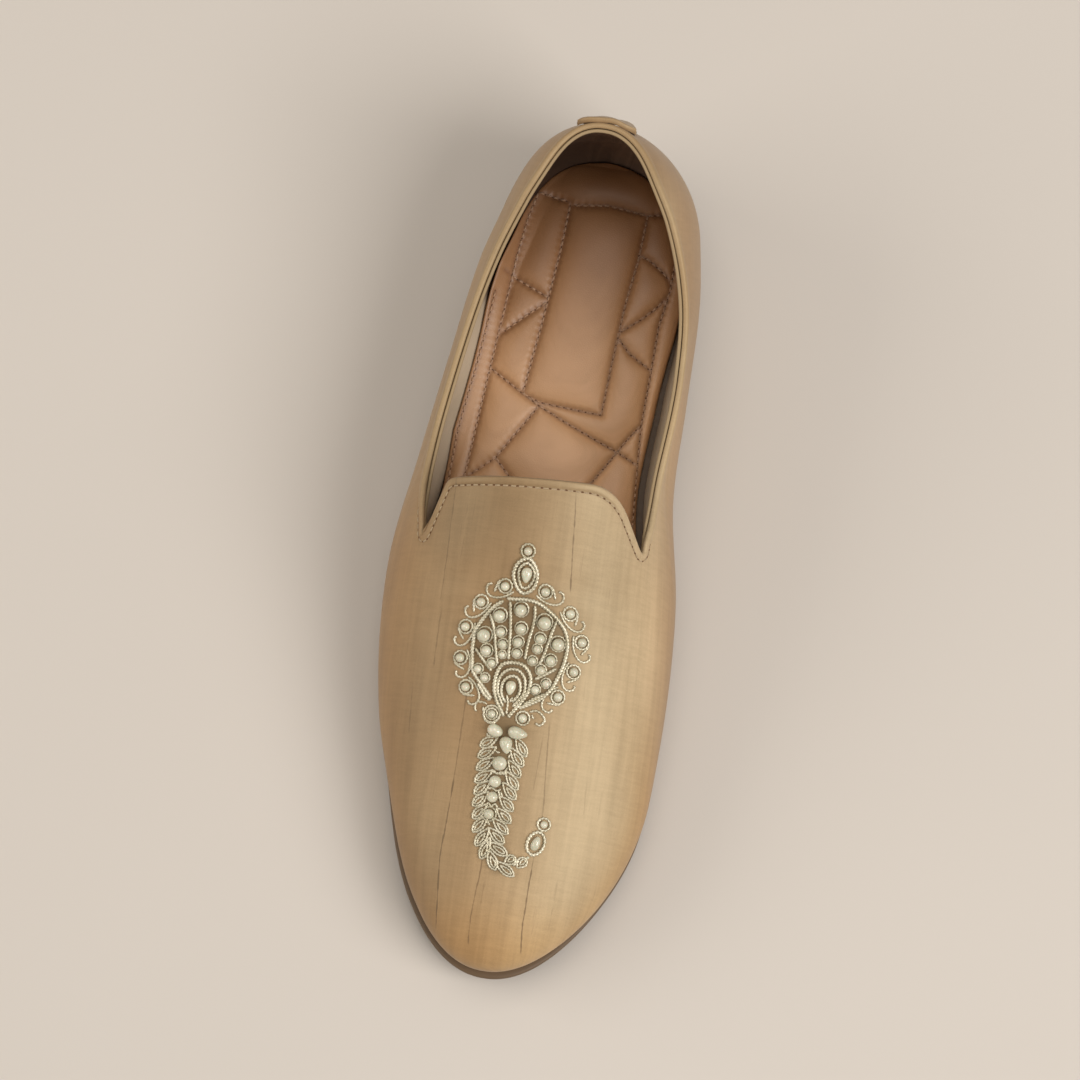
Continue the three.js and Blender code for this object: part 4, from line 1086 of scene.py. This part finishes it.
def make_insole():
    """The padded insole, puffed up between the sewn lines; gives the points of its top."""
    at = insole_stations()
    out, climb, inside = (
        np.interp(at, BORDER["at"], BORDER[key])[:, None] for key in ("out", "climb", "inside")
    )
    floor = last("feather", at)[:, None]
    feet, edges = [], []
    for side, tuck, flare in ((-1, "tuck_out", out), (1, "tuck_in", inside)):
        places, normals = outline_normals(at, side)
        reach = -last(tuck, at)[:, None] - INSOLE_INSET
        feet.append(lifted(places + normals * reach, floor[:, 0])[:, None])
        edges.append(places + normals * (reach + flare))
    even = np.linspace(-1, 1, INSOLE_POINTS)
    eased = np.sin(even * np.pi / 2 * 0.985) / math.sin(np.pi / 2 * 0.985)
    share = (eased * 0.35 + even * 0.65)[None, :]
    spot = (share[..., None] + 1) / 2
    plan = edges[0][:, None] * (1 - spot) + edges[1][:, None] * spot

    crown = np.sqrt(np.clip(1 - np.abs(share) ** 3, 0, 1))
    base = floor + INSOLE_EDGE + (INSOLE_CROWN - INSOLE_EDGE) * crown
    puff = read_quilt(QUILT_HEIGHT, plan[..., 0], plan[..., 1]) * smooth(plan[..., 1], 150, 138)
    z = base - 0.9 * crown + puff
    width = np.linalg.norm(edges[0] - edges[1], axis=1)[:, None]
    from_edge = (1 - np.abs(share)) / 2 * width
    leaned = 0.6 + inside * (0.6 + 0.6 * smooth(at, 60, 45)[:, None])
    lift = np.where(share < 0, climb, leaned)
    rise = np.clip(1 - from_edge / CLIMB_WIDTH, 0, 1) ** 1.15 * (share < 0)
    z = z + np.maximum(climb + 0.7 - (z - floor), 0) * rise
    roll = np.clip(1 - from_edge / BORDER_ROLL, 0, 1)
    z = floor + lift + (z - floor - lift) * np.sqrt(1 - roll**2 * 0.96)
    z[0], z[-1] = floor[0] + lift[0, 0] + 0.6, floor[-1] + 1.2
    top = lifted(plan, z)

    body = body_of(np.concatenate([feet[0], top, feet[1]], 1), capped=False)
    x, at = body[0][:, 0], -body[0][:, 1]
    line_x, line_at = np.array(OUTER_LINE).T
    strip = smooth(np.interp(at, line_at, line_x) - x, 0.2, 1.0) * smooth(at, 36, 46)
    # Closeness to the sewn lines, for the leatherette's painted shade in the channels.
    dip = read_quilt(QUILT_SEWN, x, at)
    piece = add_piece("insole_pad", body, LEATHER, "insole", dip=dip, strip=strip)
    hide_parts("insole")
    return top[2:INSOLE_DENSE, 2:-2].reshape(-1, 3)


# ---- stitches ----

QUILT_STITCH, QUILT_HOLE = (1.5, 0.27, 0.26), 0.27  # length, radius and rise; the hole's radius
EDGE_STITCH, EDGE_HOLE = (1.6, 0.3, 0.3), 0.28
TAB_STITCH, TAB_HOLE = (1.75, 0.21, 0.16), 0.27
TAB_PITCH = 2.3
TAB_RUN_UP = 5.0  # the tab's stitches climb this far up each quarter beyond its notch
SUNK = 0.08  # how deep a stitch's ends lie


def stitch_bodies(path, normals, pitch, length, radius, rise):
    """Bowed stitches along a path, and the needle's places between them with their normals."""
    lengths = lengths_along(path)
    count = int(lengths[-1] / pitch - 0.5)

    def read(values, s):
        return np.stack([np.interp(s, lengths, column) for column in values.T], -1)

    share = np.linspace(-1, 1, 7)
    s = (np.arange(count)[:, None] + 0.5) * pitch + share * length / 2
    middle, up = read(path, s), unit(read(normals, s))
    aside = unit(np.cross(up, unit(np.gradient(middle, axis=1))))
    middle = middle + up * (rise * (1 - share**2) - SUNK)[:, None]
    thick = radius * (1 - np.abs(share) ** 5 * 0.75)
    stitches = [body_of(grid) for grid in around(middle, up, aside, circle(6), thick[:, None])]
    s = np.arange(count + 1) * pitch
    return stitches, read(path, s), unit(read(normals, s))


def hole_bodies(places, normals, radius, long):
    """Low dark domes that stand for needle holes, long times longer than wide."""
    side = unit(np.cross(normals, unit(np.gradient(places, axis=0))))
    ahead = np.cross(side, normals)
    rings = around(0 * places, ahead * long, side, circle(10), np.array([radius]))
    place, normal = places[:, None], normals[:, None]
    rims, tops = place + rings - normal * 0.06, place + rings * 0.6 + normal * 0.04
    return [body_of(grid) for grid in np.stack([rims, tops], 1)]


def on_insole(line, tree, top):
    """A sewn line on the insole's top, with its normals."""
    line = np.array(line)
    line = resample(line, line, max(int(lengths_along(line)[-1] / 0.25), 4))

    def height(x, at):
        found = tree.find_n((x, -at, 0.0), 4)
        weights = np.array([1 / (distance + 0.05) for *_, distance in found])
        return sum(top[k][2] * w for (_, k, _), w in zip(found, weights)) / weights.sum()

    z = np.array([height(x, at) for x, at in line])
    z = np.convolve(np.pad(z, 2, mode="edge"), np.ones(5) / 5, mode="valid")
    step = 1.5
    slopes = np.array([
        (height(x + step, at) - height(x - step, at), height(x, at + step) - height(x, at - step))
        for x, at in line
    ]) / (2 * step)
    normals = unit(np.stack([-slopes[:, 0], slopes[:, 1], np.ones(len(line))], 1))
    return lifted(line, z), normals


def make_insole_stitches(top):
    """Stitches along the quilt's lines; top has the points of the insole's top."""
    tree = tree_of(top * (1, 1, 0))
    rows = [(line, QUILT_STITCH, QUILT_HOLE) for line in QUILT_LINES]
    bodies, holes = [], []
    for line, stitch, hole in [*rows, (EDGE_ROW, EDGE_STITCH, EDGE_HOLE)]:
        made, places, ups = stitch_bodies(*on_insole(line, tree, top), STITCH_PITCH, *stitch)
        bodies += made
        holes += hole_bodies(places, ups, hole, 1.25)
    add_piece("insole_stitches", merged(bodies), INSOLE_THREAD, "thread")
    add_piece("insole_needle_holes", merged(holes), HOLE, "thread")


def tab_stitch_path():
    """The line of topstitching round the tab and the notches, on the silk, with its normals."""
    quarters = []
    for side, _, end in QUARTERS:
        at = np.linspace(end - TAB_RUN_UP, end, 40)[:-1]
        quarters.append(np.stack([surface(at, quarter_top(side, at))[:, 0], at], 1))
    path = np.concatenate([quarters[0], FRONT_PATH, quarters[1][::-1]])
    x, at = resample(path, path, 1500).T
    points, normals = above(at, x)
    inward = np.cross(unit(np.gradient(points, axis=0)), normals)
    toward_toe = -inward[750, 1]
    moved = points + inward * np.sign(toward_toe) * (HEM_WIDTH - 0.1)
    tree = tree_of(points)
    moved = moved[[tree.find(point)[2] > HEM_WIDTH - 0.25 for point in moved]]
    return above(-moved[:, 1], moved[:, 0])


def make_tab_stitches():
    path, normals = tab_stitch_path()
    path = path - normals * SUNK
    bodies, places, ups = stitch_bodies(path, normals, TAB_PITCH, *TAB_STITCH)
    add_piece("tab_stitches", merged(bodies), TAB_THREAD, "thread")
    add_piece("tab_needle_holes", merged(hole_bodies(places, ups, TAB_HOLE, 1.9)), HOLE, "thread")


# ---- the tab behind the heel ----

TAB_HALF, TAB_DROP = 8.4, 20.0  # half its width at its top, and how far it hangs
TAB_NARROWING = 0.15  # this share of its width is gone at its lower end
TAB_LIFT, TAB_LAYER, TAB_GAP = 0.5, 0.72, 0.16  # off the heel, of one layer, between the layers
TAB_CORNER_CURL = 0.5
TAB_END_ROUND = 1.5  # how much narrower the outermost sheet is at both ends
TAB_CREST_DROP = 4.2  # how far its crest slopes down at both ends


def heel_place(z, x):
    """Points of the heel's outer surface at height z and at x from its middle."""
    low, high = np.zeros_like(x), np.full_like(x, HEEL_ROUND)
    for _ in range(40):
        at = (low + high) / 2
        there = surface(at, turn_at_height(at, z, x))[..., 0] - last("centre", at)
        low = np.where(np.abs(there) < np.abs(x), at, low)
        high = np.where(np.abs(there) < np.abs(x), high, at)
    return surface(low, turn_at_height(low, z, x))


def make_heel_tab():
    """A strip of silk folded over at its top: two layers with a crest, its corners curled."""
    share = np.linspace(-1, 1, 61)[:, None]
    down = np.linspace(1, 0, 40)[None, :]
    top = TOPLINE["height"][0] - 1.0
    z = top - TAB_DROP * down - TAB_CREST_DROP * np.abs(share) ** 4 * (1 - down)
    x = TAB_HALF * share * (1 - TAB_NARROWING * down)
    points, normals = heel_place(z, x), facing(heel_place, z, x, 0.3)
    curl = TAB_CORNER_CURL * np.abs(share) ** 7 * smooth(down, 0.34, 0.0)
    wave = 0.12 * np.sin(share * 7.0 + down * 5.0)
    base = (TAB_LIFT + curl + wave) * (1 - 0.7 * np.abs(share) ** 6)
    aside = unit(np.gradient(points, axis=0)) * np.sign(share)[..., None]
    offsets = 0.0, TAB_LAYER, TAB_LAYER + TAB_GAP, 2 * TAB_LAYER + TAB_GAP

    def sheet(offset):
        """A face of the cloth this far out, the narrower the further out it lies."""
        drawn = TAB_END_ROUND * (offset / offsets[-1]) ** 2 * np.abs(share) ** 9
        return points + normals * (base + offset)[..., None] - aside * drawn[..., None]

    def crest(a, b, steps):
        """A half round from the top of sheet a to that of sheet b."""
        middle, half = (a[:, -1] + b[:, -1]) / 2, (b[:, -1] - a[:, -1]) / 2
        height = np.linalg.norm(half, axis=1)[:, None] * np.array([0.0, 0.0, 1.0])
        angles = np.linspace(np.pi, 0, steps + 2)[1:-1]
        return np.stack([middle + half * math.cos(t) + height * math.sin(t) for t in angles], 1)

    inner_in, inner_out, outer_in, outer_out = (sheet(offset) for offset in offsets)
    ring = np.concatenate([
        inner_in, crest(inner_in, outer_out, 9), outer_out[:, ::-1],
        outer_in, crest(inner_out, outer_in, 3)[:, ::-1], inner_out[:, ::-1],
    ], 1)
    along = np.arange(ring.shape[1]) * 0.5
    cloth = np.stack(np.broadcast_arrays(share * TAB_HALF, along, 0.0), -1)
    piece = add_piece("heel_tab_strip", body_of(ring), SILK_STRIP, "silk", cloth=cloth)
    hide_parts("heel_tab")


# ---- the ornament: coiled wire and pearls ----

WIRE_STEP, WIRE_SIDES = 0.125, 7
STRANDS, COIL_PITCH, COIL_DEPTH = 2, 0.95, 0.34
CORD, RIB, FINE, HAIR = 0.55, 0.44, 0.33, 0.26  # radii of the wires

# The medallion's two rim cords and the short ones below them.
RIM_CORDS = [
    [(-12.9, -5), (-13.1, -2), (-13.4, 0.6), (-13, 4), (-11.6, 7), (-9.6, 10),
     (-6.8, 12.6), (-3.2, 13.8), (1, 13.7), (5.2, 12.7), (9.2, 11.2), (12.4, 8.6), (14.9, 4.8),
     (15.8, 3)],
    [(-12.2, -5.8), (-10, -8.4), (-7, -10.6), (-3.4, -12.4), (1, -12.6), (5, -12.1),
     (8, -11.3), (11.3, -8.2), (14.5, -5)],
    [(10.8, -9.6), (12.2, -8.4), (13.6, -7.2), (15, -5.2)],
    [(10.8, 9.8), (12.6, 7), (13.8, 5.6), (14.6, 4.2)],
    [(18.8, -0.8), (16.6, -2.2), (14.6, -3.6), (11.6, -4.7), (8, -4.7), (4.8, -3.4),
     (3.8, 0), (4.4, 3), (7, 5), (10.8, 5), (13.8, 3.6), (16.4, 2), (18.8, 0.4)],
]
RIBS = [
    [(-12.2, -3.9), (-10, -3.5), (-4, -2.6), (3.2, -2)],
    [(-12.2, 3.2), (-8, 3.6), (-2, 2.8), (2.5, 2.6)],
    [(-8.2, -9), (-4, -7.2), (1, -6), (5, -4.9)],
    [(-9.5, 9.8), (-6, 9), (-2, 8.2), (2, 7.3), (3, 6.5)],
    [(1.5, -11.8), (4.4, -9), (7, -6.2)],
    [(3.4, 11.8), (5.8, 8.6), (7.4, 6.2)],
    [(16.2, -1.4), (14.2, -2.6), (12, -3.7), (8.4, -3.6), (6, -1.6), (5.7, 1.2),
     (7.6, 3.4), (11, 3.9), (13.2, 3), (15.8, 1.2)],
    [(15, -0.9), (12.6, -2.5), (9.4, -2.4), (7.6, -0.6), (7.8, 1.4), (9.8, 2.5), (12.2, 2.4),
     (14.6, 0.9)],
]
# Short strokes where the stem begins, beside its pearls, and round the tip.
STROKES = [
    [(12.8, -0.9), (15, -0.3), (18.2, -0.2)],
    [(13.2, 0.8), (14.8, 0.2)],
    [(15.9, -8.8), (15.8, -7.2), (16.2, -6)],
    [(16.6, -9.2), (17.6, -9.3), (18.6, -8.8)],
    [(17, -7), (18.4, -6.8)],
    [(19, -6.6), (20.6, -5.8), (21.2, -4.2), (20.8, -2.8)],
    [(16.4, 6.2), (15.8, 8), (16.4, 9.6), (17.8, 10.8), (19.2, 10.2), (19.6, 9.2), (19, 8.4)],
    [(17, 7), (18.2, 7.6)],
    [(24, -4.8), (24.7, -4.4), (24.6, -3.6)],
    [(32.5, 2.6), (34.2, 1.7)],
    [(34.2, -1.8), (34.6, 0.3), (34.3, 2.4)],
    [(39, 1), (41, 1.6)],
    [(39.4, 1.8), (41, 2.4)],
    [(43.9, -2), (43.1, -1.1), (44, -0.3), (43.1, 0.6), (43.9, 1.6)],
    [(39.3, -2.2), (38.8, -0.8), (39.4, 0.4), (38.8, 1.8)],
    [(34.5, -2.6), (33.9, -1.4), (34.6, -0.2), (34, 1.2), (34.4, 2.6)],
    [(28.6, -1.6), (28.9, -0.2)],
    [(28.8, 2.6), (30, 2.4)],
    [(47.8, -0.5), (48.6, -0.3), (49.2, 0.3)],
    [(59.4, 8.6), (58.2, 9.3), (57, 9.6)],
]
# Ringed pearls round the rim, from the throat to the stem, and the scroll beside each one:
# a runs along the rim away from the throat, b outward.
RIM_PEARLS = [
    (-16, -5.9), (-11, -12), (-3.9, -15.4), (4.6, -15.6), (12.3, -12.8),
    (-16.3, 5.5), (-11.8, 13.2), (-4.9, 17.6), (3.4, 16.6), (11, 13.4),
]
SCROLL = [
    [(1, 2), (2.2, 0.8), (3.4, -0.8)],
    [(-2, -2), (-0.2, -2.5), (1.6, -2.6), (3.2, -2.3), (4.7, -1.5), (5.4, -0.2), (5, 1.2),
     (4.1, 1.7), (3.4, 1.4)],
]
RIM_RING, RIM_PEARL = 1.85, 1.3  # their radii
# Other rings: s, t, radius and the wire's radius.
RINGS = [
    (-26.1, -1, 1.85, FINE), (18.6, -4.3, 1.5, FINE), (18.6, -4.3, 2.3, FINE),
    (18.4, 4.6, 1.85, FINE), (46.1, -0.5, 1.95, HAIR), (46.4, 15.3, 1.75, FINE),
]
# Round pearls: s, t and radius.
PEARLS = [
    (-26.1, -1, 1.2), (18.6, -4.3, 1.15), (18.4, 4.6, 1.3), (46.4, 15.3, 1.05),
    (31.6, 0.2, 2.1), (36.8, -0.2, 1.75), (41.2, -0.3, 1.6), (46.1, -0.5, 1.5),
]
# The medallion's pearls, each in a ring of fine wire: s, t and the ring's radius.
FAN_PEARL_SHARE = 0.84
FAN_PEARLS = [
    (-10.6, -0.5, 2), (-5.6, 0.3, 1.75), (-1.9, 0, 1.6), (1.1, 0.1, 1.45),
    (-8.2, -6.2, 1.95), (-3.9, -5.2, 1.5), (-0.7, -4.2, 1.4), (2.2, -3.9, 1.1),
    (-2.4, -9.7, 2.15), (1.7, -8.5, 1.75), (4.9, -6.5, 1.35),
    (6.9, -10.1, 1.35), (9.1, -7.8, 1.3),
    (-8.3, 6.5, 2.2), (-3.8, 6, 1.6), (-0.9, 5.6, 1.35), (2.5, 4.8, 1.35),
    (-3.2, 11.1, 2.1), (1.5, 9.8, 1.7), (4.6, 7.5, 1.5),
    (7.9, 9.5, 1.35), (10.1, 6.8, 1.45),
]
# Drop-shaped pearls: s, t, half width, length over width, angle of the point from the toe
# direction toward the inner side, and taper.
DROPS = [
    (-19.8, -0.4, 1.45, 1.6, 0, 0.35), (10.7, -0.1, 1.4, 1.5, 0, 0.35),
    (22.9, -2.5, 1.8, 1.3, 76, 0.1), (22.6, 3.9, 1.75, 1.65, 86, 0.3),
    (26.4, 1.2, 1.75, 1.45, 14, 0.35), (52, 13.9, 1.25, 1.75, 165, 0.2),
]
# Pointed loops of wire down both sides of the stem and round its tip, from root to point.
LEAVES = [
    ((25.3, -2.4), (27.9, -6.1)), ((28.2, -2.4), (31, -6.2)), ((31.2, -2.3), (34.4, -6.1)),
    ((34.8, -2.4), (37.9, -6)), ((37.8, -2.4), (41.2, -5.6)), ((40.9, -2.4), (44.5, -5.5)),
    ((44.4, -2.2), (48, -4.9)), ((47.6, -1.4), (51.7, -4.3)), ((51, -0.4), (55.4, -2.9)),
    ((53.8, 0.6), (58.8, -0.8)),
    ((24.8, 4.2), (28.7, 7.2)), ((27.8, 3.2), (31.6, 6.8)), ((31.3, 3.2), (34.7, 6.4)),
    ((34.5, 3), (38.2, 6.3)), ((37.6, 2.7), (40.9, 6.2)), ((41.4, 2.4), (44.2, 6)),
    ((44.8, 2.2), (47.6, 5.9)), ((47.8, 1.6), (50.8, 5.6)), ((50.6, 0.8), (53.6, 5)),
    ((54.4, 1.4), (56.6, 6.4)),
    ((57, 1.5), (61.2, 3.8)), ((59.4, 4.4), (62, 9.2)), ((58.6, 6.6), (56.8, 8.8)),
    ((59, 10.2), (56.6, 11.9)),
]
LEAF_WIDTH = 2.6
LEAF_ROOT = 0.28  # the loops start this share of their length further in, beside the pearls
# Frames of braided wire: the finial's, and the one round the tip's drop.
FINIAL = [
    (-24.2, -0.6), (-22.6, 1.5), (-20, 2.6), (-16.8, 2.1), (-15, 0), (-15.4, -1.8),
    (-17.4, -3.4), (-20, -4.1), (-22.8, -3.1),
]
FINIAL_CORE = [
    (-22.9, -0.6), (-21.2, 1.4), (-19, 1.7), (-16.6, 0.4), (-16.5, -1.4), (-19, -2.6),
    (-21.4, -2.5),
]
TIP_FRAME = (52, 13.9, 3.3, 2.35, 165)  # s, t, half length, half width and angle
BRAID_PITCH, BRAID_DEPTH = 1.0, 0.38
TIP_DOTS = [(56.3, 12.4, 0.42), (55.5, 13.3, 0.38)]


def on_vamp(s, t, height=0.0):
    """Points at a height over the vamp, with its normals."""
    points, normals = above(ORNAMENT_AT + s, ORNAMENT_X + t)
    return points + normals * height, normals


def spline(points, closed=False):
    """A Catmull-Rom curve through plan points."""
    points = np.array(points, float)
    if closed:
        padded = np.concatenate([points[-1:], points, points[:2]])
    else:
        padded = np.concatenate([2 * points[:1] - points[1:2], points, 2 * points[-1:] - points[-2:-1]])
    t = np.linspace(0, 1, 12, endpoint=False)[:, None]
    spans = [
        0.5 * (2 * b + (c - a) * t + (2 * a - 5 * b + 4 * c - d) * t**2
               + (3 * b - a - 3 * c + d) * t**3)
        for a, b, c, d in zip(padded, padded[1:], padded[2:], padded[3:])
    ]
    return np.concatenate([*spans, points[:1] if closed else points[-1:]])


def wire(path, radius, pitch=COIL_PITCH, depth=COIL_DEPTH, closed=False):
    """A cord of coiled wire that follows a plan path over the vamp."""
    path = resample(path, path, max(int(lengths_along(path)[-1] / WIRE_STEP), 8))
    if closed:
        path = path[:-1]
    count = len(path)
    run = np.arange(count)[:, None] * WIRE_STEP
    middle, up = on_vamp(*path.T, radius * 0.85)
    if closed:
        ahead = np.roll(middle, -1, 0) - np.roll(middle, 1, 0)
        pitch = count * WIRE_STEP / round(count * WIRE_STEP / pitch)
    else:
        ahead = np.gradient(middle, axis=0)
    forward = unit(ahead)
    aside = unit(np.cross(up, forward))
    angles = circle(WIRE_SIDES)
    swell = radius * (1 + depth * np.cos(STRANDS * angles - 2 * np.pi * run / pitch))
    if not closed:
        from_end = np.minimum(np.arange(count), np.arange(count)[::-1])[:, None]
        swell = swell * np.clip(0.35 + from_end * 0.25, 0, 1)
    return body_of(around(middle, np.cross(forward, aside), aside, angles, swell), ring=closed)


def turned(a, b, angle):
    """Plan vectors of length a along a direction, b to its inner side; its angle is from the toe's."""
    cosine, sine = cosine_sine(angle)
    return np.stack([a * cosine - b * sine, a * sine + b * cosine], -1)


def oval(s, t, long, wide=None, angle=0.0):
    """An ellipse in plan, its long axis at an angle from the toe's direction."""
    angles = np.linspace(0, 2 * np.pi, 29)
    return (s, t) + turned(long * np.cos(angles), (wide or long) * np.sin(angles), angle)


def leaf(root, tip, width):
    """A drop-shaped loop that starts at its root and is roundest near its tip."""
    along = tip - root
    aside = np.array([-along[1], along[0]]) / np.linalg.norm(along)
    share = np.linspace(0, 1, 26)[:, None]
    bulge = np.sin(np.pi * share**1.45) ** 0.7 * width / 2 * aside
    middle = root + share * along
    return np.concatenate([middle + bulge, (middle - bulge)[-2::-1]])


def pearl(s, t, radius, long=1.0, angle=0.0, taper=0.0, height=0.62):
    """A bead sewn down: a sphere, or a drop drawn out to a point."""
    rings, sides = 9, 18
    lat = np.linspace(-np.pi / 2, np.pi / 2, rings + 2)[1:-1, None]
    lon = circle(sides)
    x = np.cos(lat) * np.cos(lon)
    y = np.cos(lat) * np.sin(lon) * (1 - taper * x)
    ball = np.stack([x * long, y, np.sin(lat) + 0 * lon], -1).reshape(-1, 3)
    ball = np.concatenate([ball, [(0, 0, -1), (0, 0, 1)]]) * radius
    place, normal = on_vamp(s, t, height * radius)
    toe = on_vamp(s + 0.5, t)[0] - on_vamp(s - 0.5, t)[0]
    toe = unit(toe - normal * (toe @ normal))
    inner = np.cross(toe, normal)
    inner = inner * np.sign(inner[0])
    cosine, sine = cosine_sine(angle)
    first = toe * cosine + inner * sine
    points = place + ball @ np.stack([first, np.cross(normal, first), normal])
    faces = ring_faces(rings, sides, ring=False)[:, [0, 3, 2, 1]].tolist()
    low, high, last = len(points) - 2, len(points) - 1, (rings - 1) * sides
    for j in range(sides):
        l = (j + 1) % sides
        faces += [[low, l, j], [high, last + j, last + l]]
    return points, outward(points, faces)


def rim_scroll(s, t):
    """The ring round a rim pearl and the two strokes beside it."""
    out = unit(np.array([s, t]) - RIM_MIDDLE)
    ahead = np.array([-out[1], out[0]])
    ahead = ahead * np.sign(ahead[0])
    made = [wire(oval(s, t, RIM_RING), FINE, closed=True)]
    for stroke in SCROLL:
        path = [(s, t) + ahead * a + out * b for a, b in stroke]
        made.append(wire(spline(path), FINE))
    return made


def make_ornament():
    cords = [wire(spline(line), CORD) for line in RIM_CORDS]
    cords += [wire(spline(line), RIB) for line in RIBS]
    curls = [wire(spline(line), FINE) for line in STROKES]
    for s, t in RIM_PEARLS:
        curls += rim_scroll(s, t)
    curls += [wire(oval(s, t, ring), size, closed=True) for s, t, ring, size in RINGS]
    curls += [wire(oval(s, t, ring), HAIR, closed=True) for s, t, ring in FAN_PEARLS]
    frames = [
        (spline(FINIAL, closed=True), RIB + 0.06), (spline(FINIAL_CORE, closed=True), RIB - 0.04),
        (oval(*TIP_FRAME), RIB),
    ]
    curls += [wire(path, size, BRAID_PITCH, BRAID_DEPTH, closed=True) for path, size in frames]
    leaves = []
    for root, tip in np.array(LEAVES):
        root = root - (tip - root) * LEAF_ROOT
        leaves.append(wire(leaf(root, tip, LEAF_WIDTH), FINE - 0.02))
        inner = root + (tip - root) * 0.3, root + (tip - root) * 0.88
        leaves.append(wire(leaf(*inner, LEAF_WIDTH * 0.42), HAIR))
    pearls = [pearl(*place) for place in [*PEARLS, *TIP_DOTS]]
    pearls += [pearl(s, t, ring * FAN_PEARL_SHARE, height=0.8) for s, t, ring in FAN_PEARLS]
    pearls += [pearl(s, t, RIM_PEARL) for s, t in RIM_PEARLS]
    pearls += [pearl(*drop) for drop in DROPS]
    piece = add_piece("ornament_cords", merged(cords), WIRE, "wire")
    add_piece("ornament_curls", merged(curls), WIRE, "wire")
    add_piece("ornament_leaves", merged(leaves), WIRE, "wire")
    add_piece("ornament_pearls", merged(pearls), PEARL, "pearl")
    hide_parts("embroidery")


# ---- the stage ----

AZIMUTH, ELEVATION, ROLL = (math.radians(angle) for angle in (18.75, 79.14, -8.96))
DISTANCE, LENS = 1.0239, 118.0
FLOOR_REACH = 3.0


def make_camera():
    """The photograph's viewpoint: nearly overhead, and turned about the line of sight."""
    level = math.cos(ELEVATION)
    back = Vector((math.sin(AZIMUTH) * level, -math.cos(AZIMUTH) * level, math.sin(ELEVATION)))
    side = Vector((0, 0, 1)).cross(back).normalized()
    rise = back.cross(side)
    right = side * math.cos(ROLL) + rise * math.sin(ROLL)
    up = rise * math.cos(ROLL) - side * math.sin(ROLL)
    place = (CAD_LOW + CAD_HIGH) / 2 + back * DISTANCE
    camera = put("camera", bpy.data.cameras.new("camera"))
    camera.data.lens = LENS
    camera.matrix_world = Matrix([*zip(right, up, back, place), (0, 0, 0, 1)])
    bpy.context.scene.camera = camera


def make_floor():
    shader = Shader("pale_floor")
    place = shader.node("TexCoord", {}, "Object")
    soft = shader.node("TexNoise", {"Vector": place, "Scale": 3.0, "Detail": 3.0})
    tone = soft.blend((0.60, 0.555, 0.505), (0.64, 0.595, 0.545))
    mesh = bpy.data.meshes.new("floor")
    corners = [(x * FLOOR_REACH, y * FLOOR_REACH, 0) for x, y in ((-1, -1), (1, -1), (1, 1), (-1, 1))]
    mesh.from_pydata(corners, [], [range(4)])
    mesh.materials.append(shader.made(Base_Color=tone, Roughness=0.85, Specular_IOR_Level=0.2))
    put("floor", mesh)


# Soft boxes: place, width, height, watts and colour.
LIGHTS = [
    ("key", (1.2, -0.45, 1.35), 1.1, 1.1, 24.5, (1.0, 0.96, 0.92)),
    ("fill", (-1.4, -0.2, 0.9), 1.4, 1.0, 10.0, (1.0, 0.93, 0.84)),
    ("top", (-0.1, 0.3, 1.7), 0.9, 0.9, 6.0, (1.0, 0.97, 0.93)),
]


def make_lights():
    for name, place, width, height, watts, colour in LIGHTS:
        data = bpy.data.lights.new(name, "AREA")
        data.shape = "RECTANGLE"
        data.size, data.size_y = width, height
        data.energy, data.color = watts, colour
        light = put(name, data)
        light.location = place
        aim = Vector((0, 0, 0.03)) - light.location
        light.rotation_euler = aim.to_track_quat("-Z", "Y").to_euler()
    world = bpy.data.worlds.new("studio")
    world.use_nodes = True
    background = world.node_tree.nodes["Background"]
    background.inputs["Color"].default_value = (1.0, 0.95, 0.89, 1.0)
    background.inputs["Strength"].default_value = 0.30
    bpy.context.scene.world = world
    bpy.context.scene.view_settings.view_transform = "Standard"


make_camera()
make_lights()
make_floor()
make_silk()
make_lining()
make_outsole()
make_heel()
make_insole_stitches(make_insole())
make_tab_stitches()
make_heel_tab()
make_ornament()
